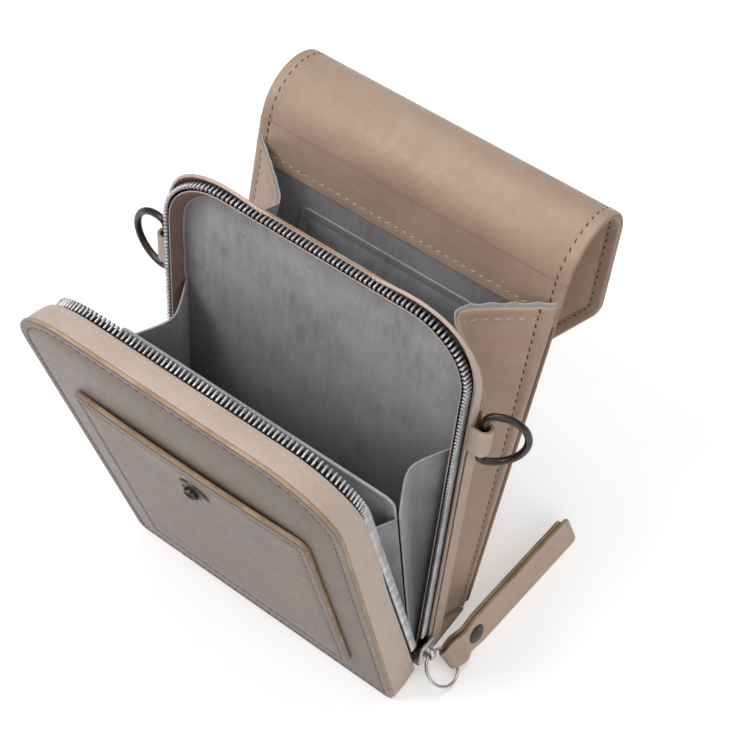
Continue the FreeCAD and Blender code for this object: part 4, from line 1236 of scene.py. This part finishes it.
@dataclass
class BackAndFlap:
    """The back panel and the flap that rises from it, curls over and hangs behind."""

    paint: Palette
    half: float = 57.5
    skin: float = 1.2
    curl_from: float = 150.0
    curl_to: float = 198.0
    curl_turn: float = 170.0
    lip_from: float = 225.0
    tip: float = 303.0
    tip_half: float = 17.0
    shoulder: float = 234.0
    seam: float = 3.6

    def path(self, run: float) -> Tuple[float, float, float]:
        """The flap's middle line: depth and height in the back's frame, and the turn so far in radians."""
        turn = math.radians(self.curl_turn)
        radius = 6.0 / math.tan(math.radians(self.curl_turn / 8))
        if run <= self.curl_from:
            return 0.0, run, 0.0
        angle = min((run - self.curl_from) / (self.curl_to - self.curl_from), 1.0) * turn
        y, z = radius * (1 - math.cos(angle)), self.curl_from + radius * math.sin(angle)
        rest = max(run - self.curl_to, 0.0)
        return y + rest * math.sin(angle), z + rest * math.cos(angle), angle

    def form(self, u: float, v: float, t: float) -> Vector:
        """A point of the back or flap: across, along its length and out through its outer skin."""
        y, z, angle = self.path(v)
        return BACK.at(u, y + t * math.cos(angle), z - t * math.sin(angle))

    def spot(self, run: float) -> Vector:
        """The middle of the flap at a run along it."""
        return self.form(0.0, run, 0.0)

    def build(self) -> None:
        """Builds the back, its facing, the bending bands and the lip."""
        self.back()
        self.facing()
        bands = (("back", "curl_1"), ("curl_1", "curl_2"), ("curl_2", "curl_3"), ("curl_3", "over"),
                 ("over", "fold"), ("fold", "lip"))
        ends = (150.0, 162.0, 174.0, 186.0, 198.0, 211.5, 225.0)
        nodes = ((), ("flap_band_1",), ("flap_band_2",), ("flap_band_3",), ("flap_top",), ("flap_band_4",))
        for (first, second), start, end, stood in zip(bands, ends, ends[1:], nodes):
            self.band(first, second, start, end, stood)
        self.lip()

    def skins(self) -> Tuple[Material, ...]:
        """The materials of the flap: the same grain inside and out, a dyed edge and dark thread."""
        return self.paint.of("shell shell dyed_edge dark_thread")

    def side_rows(self, piece: Blank, low: float, high: float, faces: Sequence[bool]) -> None:
        """Sews the rows along both side edges, on the upper face where faces says True."""
        for side in (-1, 1):
            edge = side * (self.half - self.seam)
            for upper in faces:
                piece.stitch(straight(edge, low, edge, high), Sewing.SEAM, upper=upper)

    def back(self) -> None:
        """The outer leather of the back."""
        corners = box_corners(-self.half, self.half, 0.4, self.curl_from, 4.0)
        piece = Blank(corners, self.skin).open_side(lambda m: m.y > self.curl_from - 0.01).rim(0.5)
        piece.groove(self.seam).slices(up=steps(0, self.curl_from, 12)).paint()
        line = inside_line(corners, self.seam)
        sides = [Vector((-self.half + self.seam, self.curl_from)), *line[:18],
                 Vector((self.half - self.seam, self.curl_from))]
        piece.stitch(sides, Sewing.SEAM)
        piece.laid(self.form, "back_leather", self.paint.of("shell flesh dyed_edge dark_thread"), "back",
                   "shell_leather", "back_panel")

    def facing(self) -> None:
        """The leather facing inside, from above the lining up to the curl."""
        low = 134.0
        corners = box_corners(-self.half, self.half, low, self.curl_from)
        piece = Blank(corners, self.skin, -self.skin).open_side(lambda m: m.y > self.curl_from - 0.01).rim(0.4)
        piece.groove(self.seam, upper=False).slices(up=steps(low, self.curl_from, 4)).paint()
        self.side_rows(piece, low + 4.4, self.curl_from, (False,))
        piece.laid(self.form, "facing_leather", self.skins(), "back", "shell_leather", "flap_facing")
        row = Blank(box_corners(-self.half + 2, self.half - 2, low + 3.2, low + 3.9), 0.1, -self.skin - 0.02)
        row.paint().stitch(straight(-self.half + 3, low + 3.55, self.half - 3, low + 3.55),
                           Sewing.TOPSTITCH, upper=False)
        row.laid(self.form, "facing_seam", self.paint.of("shell shell shell pale_thread"), "back", "shell_leather")

    def band(self, first: str, second: str, start: float, end: float, nodes: Sequence[str]) -> None:
        """One bending length of the flap, between the middles of two links."""
        corners = box_corners(-self.half, self.half, start, end)
        piece = Blank(corners, 2 * self.skin, -self.skin).open_side(
            lambda m: m.y < start + 0.01 or m.y > end - 0.01).rim(0.9)
        piece.groove(self.seam).groove(self.seam, upper=False)
        piece.slices(up=steps(start, end, 1.0) + [start + 0.2, end - 0.2]).paint()
        self.side_rows(piece, start, end, (True, False))
        thing = piece.formed(self.form, f"flap_bend_{first}_{second}", self.skins())
        bridge(thing, "shell_leather", (first, second), self.spot(start), self.spot(end), *nodes)

    def lip(self) -> None:
        """The tongue of the flap with its tapered sides."""
        corners = [Corner(-self.half, self.lip_from), Corner(self.half, self.lip_from),
                   Corner(self.half, self.shoulder, 14.0), Corner(self.tip_half, self.tip, 15.0),
                   Corner(-self.tip_half, self.tip, 15.0), Corner(-self.half, self.shoulder, 14.0)]
        piece = Blank(corners, 2 * self.skin, -self.skin).open_side(lambda m: m.y < self.lip_from + 0.01).rim(0.9)
        piece.groove(self.seam).groove(self.seam, upper=False)
        piece.slices(up=steps(self.lip_from, self.tip, 6)).paint()
        line = [p for p in inside_line(corners, self.seam) if p.y > self.lip_from + self.seam + 0.1]
        line = [Vector((self.half - self.seam, self.lip_from)), *line,
                Vector((-self.half + self.seam, self.lip_from))]
        for upper in (True, False):
            piece.stitch(line, Sewing.SEAM, upper=upper)
        piece.laid(self.form, "flap_lip_leather", self.paint.of("shell shell edge dark_thread"), "lip",
                   "shell_leather", "flap_lip")


# ---------------------------------------------------------------- metal fittings and the pull

class Move(Enum):
    """The two ways a wire goes on."""

    RUN = "run"
    TURN = "turn"


def wire(radius: float, moves: Sequence[Tuple[Move, float, float]], sides: int = 12) -> bmesh.types.BMesh:
    """A round wire drawn in the local XZ plane, in mm, from the origin upwards.

    Args:
        radius: The wire's radius.
        moves: Runs as (RUN, length, 0) and turns to the right as (TURN, radius, degrees).
        sides: The faces round the wire.

    Returns:
        The wire's mesh.
    """
    mesh = bmesh.new()
    ring = bmesh.ops.create_circle(mesh, cap_ends=False, radius=radius, segments=sides)
    edges = list({e for v in ring["verts"] for e in v.link_edges})
    spot, heading = Vector((0, 0, 0)), Vector((0, 0, 1))
    for kind, amount, degrees in moves:
        if kind is Move.RUN:
            grown = bmesh.ops.extrude_edge_only(mesh, edges=edges)["geom"]
            ends = [g for g in grown if isinstance(g, bmesh.types.BMVert)]
            bmesh.ops.translate(mesh, vec=heading * amount, verts=ends)
            edges = [g for g in grown if isinstance(g, bmesh.types.BMEdge)]
            spot = spot + heading * amount
        else:
            right = Vector((heading.z, 0, -heading.x))
            centre = spot + right * amount
            turned = bmesh.ops.spin(mesh, geom=edges, cent=centre, axis=(0, 1, 0), angle=math.radians(degrees),
                                    steps=max(int(abs(degrees) / 9), 2), use_merge=False)
            edges = [g for g in turned["geom_last"] if isinstance(g, bmesh.types.BMEdge)]
            swing = Matrix.Rotation(math.radians(degrees), 3, "Y")
            spot, heading = centre + swing @ (spot - centre), swing @ heading
    bmesh.ops.remove_doubles(mesh, verts=mesh.verts[:], dist=0.02)
    bmesh.ops.recalc_face_normals(mesh, faces=mesh.faces[:])
    return mesh


def turned(profile: Sequence[Tuple[float, float]], sides: int = 40) -> bmesh.types.BMesh:
    """A round fitting about the local Y axis, from (radius, depth) points in mm."""
    mesh = bmesh.new()
    verts = [mesh.verts.new((r, d, 0)) for r, d in profile]
    edges = [mesh.edges.new(pair) for pair in zip(verts, verts[1:])]
    bmesh.ops.spin(mesh, geom=verts + edges, cent=(0, 0, 0), axis=(0, 1, 0), angle=2 * math.pi, steps=sides,
                   use_merge=True)
    bmesh.ops.remove_doubles(mesh, verts=mesh.verts[:], dist=0.005)
    bmesh.ops.recalc_face_normals(mesh, faces=mesh.faces[:])
    return mesh


@dataclass
class Fittings:
    """Rings, snaps, slider, jump ring and the leather pull."""

    paint: Palette
    flap: BackAndFlap
    ring_reach: float = 60.4
    ring_depth: float = 5.8
    ring_height: float = 122.0
    snap_height: float = 116.0
    snap_back: float = 25.5
    jump_pivot: Tuple[float, float, float] = (59.85, 0.0, 6.0)
    jump_radius: float = 6.5
    jump_droop: float = 35.0
    strap_forward: float = 6.0
    strap_tilt: float = 7.691
    strap_bend: float = 2.35
    strap_rest: float = 0.86
    strap_end: float = 68.0
    strap_twist: float = 40.0
    strap_sheet: float = 1.5

    def build(self) -> None:
        """Builds every fitting."""
        for side, end, facing in ((1, "right", 32.0), (-1, "left", 174.0)):
            self.ring(side, end, facing)
        self.snaps()
        self.slider()
        self.pull()

    def ring(self, side: int, end: str, facing: float) -> None:
        """A D-ring: a straight bar in its tab, and a round bow."""
        run, turn = Move.RUN, Move.TURN
        mesh = wire(1.2, [(run, 8.0, 0), (turn, 2.5, 90), (run, 0.5, 0), (turn, 10.5, 180), (run, 0.5, 0),
                          (turn, 2.5, 90), (run, 8.0, 0)], 16)
        place = MID.place(side * self.ring_reach, self.ring_depth, self.ring_height)
        bmesh.ops.transform(mesh, matrix=place @ turn_about("Z", facing), verts=mesh.verts)
        thing = finished(mesh, f"d_ring_{end}_wire", self.paint.of("black_nickel"))
        settle(thing, f"ring_{end}", "black_nickel", f"d_ring_{end}")

    def hang(self) -> Matrix:
        """The jump ring's own frame, on the slider's bail."""
        return MID.place(*self.jump_pivot) @ turn_about("Y", self.jump_droop)

    def fitting(self, node: str, profile: Sequence[Tuple[float, float]], place: Matrix, body: str,
                finish: str = "black_nickel") -> None:
        """One turned fitting in its place on a body."""
        mesh = turned(profile)
        bmesh.ops.transform(mesh, matrix=place, verts=mesh.verts)
        bmesh.ops.recalc_face_normals(mesh, faces=mesh.faces[:])
        settle(finished(mesh, f"{node}_metal", self.paint.of(finish), 40.0), body, "black_nickel", node)

    def snaps(self) -> None:
        """The snap's stud and post on the pocket, and its cap and socket on the lip."""
        stud = [(0.0, -0.5), (1.6, -0.5), (1.75, -2.15), (2.1, -2.45), (2.5, -2.3), (2.65, -1.9), (2.55, -1.0),
                (2.9, -0.5), (3.6, -0.5), (4.0, -0.85), (4.7, -0.95), (5.4, -0.6), (5.6, 0.0)]
        self.fitting("snap_stud", stud, FACE.place(0, -3.75, self.snap_height), "front")
        post = [(0.0, -0.6), (3.2, -0.6), (3.6, -0.35), (3.6, 0.0), (0.0, 0.0)]
        self.fitting("snap_post", post, FACE.place(0, -1.8, self.snap_height), "front", "nickel")
        y, z, angle = self.flap.path(self.flap.tip - self.snap_back)
        lip = BACK.place(0, y, z) @ Matrix.Rotation(-angle, 4, "X")
        cap = [(0.0, 1.6), (2.4, 1.5), (4.2, 1.2), (5.4, 0.8), (6.0, 0.4), (6.0, 0.0), (0.0, 0.0)]
        self.fitting("snap_cap", cap, lip @ Matrix.Translation((0, self.flap.skin, 0)), "lip")
        socket = [(0.0, -0.06), (2.9, -0.06), (2.9, -1.1), (3.3, -1.4), (4.2, -1.3), (4.9, -0.8), (5.0, 0.0),
                  (0.0, 0.0)]
        self.fitting("snap_socket", socket, lip @ Matrix.Translation((0, -self.flap.skin, 0)), "lip")

    def slider(self) -> None:
        """The zip slider's wing with its bail, and the jump ring through it."""
        corners = [Corner(-3.0, 0.4, 0.8), Corner(3.0, 0.4, 0.8), Corner(4.2, 5.9, 2.0), Corner(4.2, 11.4, 1.2),
                   Corner(-4.2, 11.4, 1.2), Corner(-4.2, 5.9, 2.0)]
        wing = Blank(corners, 1.4).rim(0.4).paint()
        bail = wire(0.55, [(Move.RUN, 1.9, 0), (Move.TURN, 0.9, 90), (Move.RUN, 1.7, 0), (Move.TURN, 0.9, 90),
                           (Move.RUN, 1.9, 0)], 10)
        bmesh.ops.scale(bail, vec=(1, 2.4, 1), verts=bail.verts)
        across = Matrix(((0, 1, 0, 0), (-1, 0, 0, 7.75), (0, 0, 1, 1.2), (0, 0, 0, 1)))
        bmesh.ops.transform(bail, matrix=across, verts=bail.verts)
        loose = bpy.data.meshes.new("bail")
        bail.to_mesh(loose)
        bail.free()
        wing.mesh.from_mesh(loose)
        bpy.data.meshes.remove(loose)
        wing.laid(lambda u, v, t: MID.at(57.3 + t, u, v), "zip_slider_metal", self.paint.of("nickel") * 4, "slider",
                  "nickel", "zip_slider")

        hoop = wire(0.6, [(Move.TURN, self.jump_radius, 360)], 12)
        stand = turn_about("X", -90)
        bmesh.ops.transform(hoop, matrix=self.hang() @ stand, verts=hoop.verts)
        thing = finished(hoop, "jump_ring_wire", self.paint.of("nickel"))
        settle(thing, "jump", "nickel", "jump_ring")

    def pull(self) -> None:
        """The leather pull: one strap folded round the jump ring, and its rivet."""
        arm = self.hang() @ Matrix.Translation((self.jump_radius, self.strap_forward, 0)) \
            @ turn_about("X", self.strap_tilt)
        bend = self.strap_bend
        bow = math.pi * bend / 2
        end = self.strap_end + bow
        upper = [Corner(-3.2, 0), Corner(3.2, 0), Corner(7.0, 14.0 + bow, 9.0), Corner(7.0, end, 2.0),
                 Corner(-7.0, end - 2.3, 1.5), Corner(-7.0, 14.0 + bow, 9.0)]

        def twist(run: float) -> Matrix:
            """The strap's own frame at a run along it: it turns up on its long edge before the rivet."""
            share = smooth(run / 8.0)
            lift = Vector((-0.63 * share, run, 0.9 * share))
            return Matrix.Translation(lift) @ turn_about("Y", self.strap_twist * share)

        def form(u: float, v: float, t: float, way: int) -> Vector:
            """One leaf of the strap: round the ring for a quarter turn more, then straight out."""
            if v < bow:
                angle = math.pi - way * v / bend
                level = bend + way * t
                return arm @ Vector((u, level * math.cos(angle), level * math.sin(angle)))
            run = v - bow
            rise = self.strap_rest + (bend - self.strap_rest) * (1 - smooth(run / 9.0))
            return arm @ twist(run) @ Vector((u, 0, way * rise + t))
        skins = self.paint.of("strap flesh edge pale_thread dark_thread")
        for way, name in ((1, "pull_leather_upper"), (-1, "pull_leather_lower")):
            corners = upper if way > 0 else [Corner(c.u, c.v - (2.2 if c.v > 50 else 0), c.radius) for c in upper]
            piece = Blank(corners, self.strap_sheet, -self.strap_sheet / 2).open_side(lambda m: m.y < 0.01).rim(0.35)
            piece.slices(up=steps(0, bow, 0.5) + [bow] + steps(bow, bow + 10, 1.5) + steps(bow + 10, end, 8)).paint()
            row = straight(0.5, end - 20, 0.5, end - 6)
            piece.stitch(row, Sewing.PULL, upper=way > 0)
            # painted shade: dark thread-coloured dots between the stitches where the punched holes would be in shade
            hole_shade_spots = [spot + Vector((0, 3.5)) for spot in row]
            piece.stitch(hole_shade_spots, Sewing.PULL_HOLE_SHADE, upper=way > 0, skin=Skin.SEAM)
            order = skins if way > 0 else (skins[1], skins[0], *skins[2:])
            piece.laid(lambda u, v, t, way=way: form(u, v, t, way), name, order, "pull", "shell_leather",
                       *(("pull_strap",) if way > 0 else ()))
        half = [(0.0, 2.15), (2.8, 2.1), (3.5, 1.95), (3.8, 1.6), (1.6, 1.6)]
        profile = half + [(r, -d) for r, d in reversed(half)]
        stand = arm @ twist(11.5) @ turn_about("X", 90)
        self.fitting("pull_rivet", profile, stand, "pull")


# ---------------------------------------------------------------- studio

@dataclass
class Studio:
    """A pale floor, soft light and the camera at the photograph's angle."""

    eye: Tuple[float, float, float] = (183.9, -214.3, 519.1)
    target: Tuple[float, float, float] = (-20.1, 57.5, 35.6)
    lens: float = 79.6
    glow: float = 0.3
    surround: float = 0.38

    def build(self) -> None:
        """Sets up the floor, the world, the lamps and the camera."""
        self.floor()
        self.world()
        self.lamp("key", (-380, -420, 900), 460, 4.8)
        self.lamp("fill", (620, -300, 620), 520, 1.7)
        self.lamp("top", (0, 260, 1000), 600, 3.2)
        self.camera()

    def floor(self) -> None:
        """A wide pale floor that shows only its soft shadow."""
        mesh = bmesh.new()
        bmesh.ops.create_grid(mesh, x_segments=1, y_segments=1, size=4.0)
        tree = Tree("studio_floor")
        grain = tree.noise(tree.body(), 30.0)
        rays = tree.add("ShaderNodeLightPath")
        seen = rays.outputs["Is Camera Ray"]
        for kind in ("Is Glossy Ray", "Is Transmission Ray"):
            seen = tree.add("ShaderNodeMath", {0: seen, 1: rays.outputs[kind]}, operation="MAXIMUM").outputs[0]
        tree.dress(Base_Color=tree.blend(grain, (0.9, 0.9, 0.9), (0.92, 0.92, 0.92)), Roughness=0.9,
                   Specular_IOR_Level=0.1, Emission_Color=(1.0, 1.0, 1.0),
                   Emission_Strength=tree.span(seen, 0, 1, 0.0, self.glow))
        thing = finished(mesh, "floor", (tree.material,))

    def world(self) -> None:
        """An even white surround."""
        world = bpy.data.worlds.new("studio")
        bpy.context.scene.world = world
        world.use_nodes = True
        world.node_tree.nodes["Background"].inputs["Color"].default_value = (1.0, 1.0, 1.0, 1.0)
        world.node_tree.nodes["Background"].inputs["Strength"].default_value = self.surround

    def lamp(self, name: str, place: Tuple[float, float, float], size: float, power: float) -> None:
        """A square area lamp that looks at the pouch."""
        data = bpy.data.lights.new(name, "AREA")
        data.size = size * MM
        data.energy = power
        lamp = bpy.data.objects.new(name, data)
        lamp.location = Vector(place) * MM
        aim = Vector((0, 20, 70)) * MM - lamp.location
        lamp.rotation_euler = aim.to_track_quat("-Z", "Y").to_euler()
        bpy.context.scene.collection.objects.link(lamp)

    def camera(self) -> None:
        """The photograph's camera."""
        data = bpy.data.cameras.new("camera")
        data.lens = self.lens
        data.sensor_width = 36.0
        data.clip_start = 0.01
        camera = bpy.data.objects.new("camera", data)
        camera.location = Vector(self.eye) * MM
        aim = Vector(self.target) * MM - camera.location
        camera.rotation_euler = aim.to_track_quat("-Z", "Y").to_euler()
        bpy.context.scene.collection.objects.link(camera)
        bpy.context.scene.camera = camera
        bpy.context.scene.view_settings.view_transform = "Standard"


def main() -> None:
    """Builds the pouch piece by piece, then its studio."""
    logging.basicConfig(level=logging.INFO, format="%(name)s: %(message)s")
    paint = Palette()
    flap = BackAndFlap(paint)
    for assembly in (FrontTray(paint), MiddleTray(paint), Zip(paint), CardPockets(paint), flap, PhonePocket(paint),
                     Fittings(paint, flap), Studio()):
        LOG.info("building %s", type(assembly).__name__)
        assembly.build()


if __name__ == "__main__":
    main()
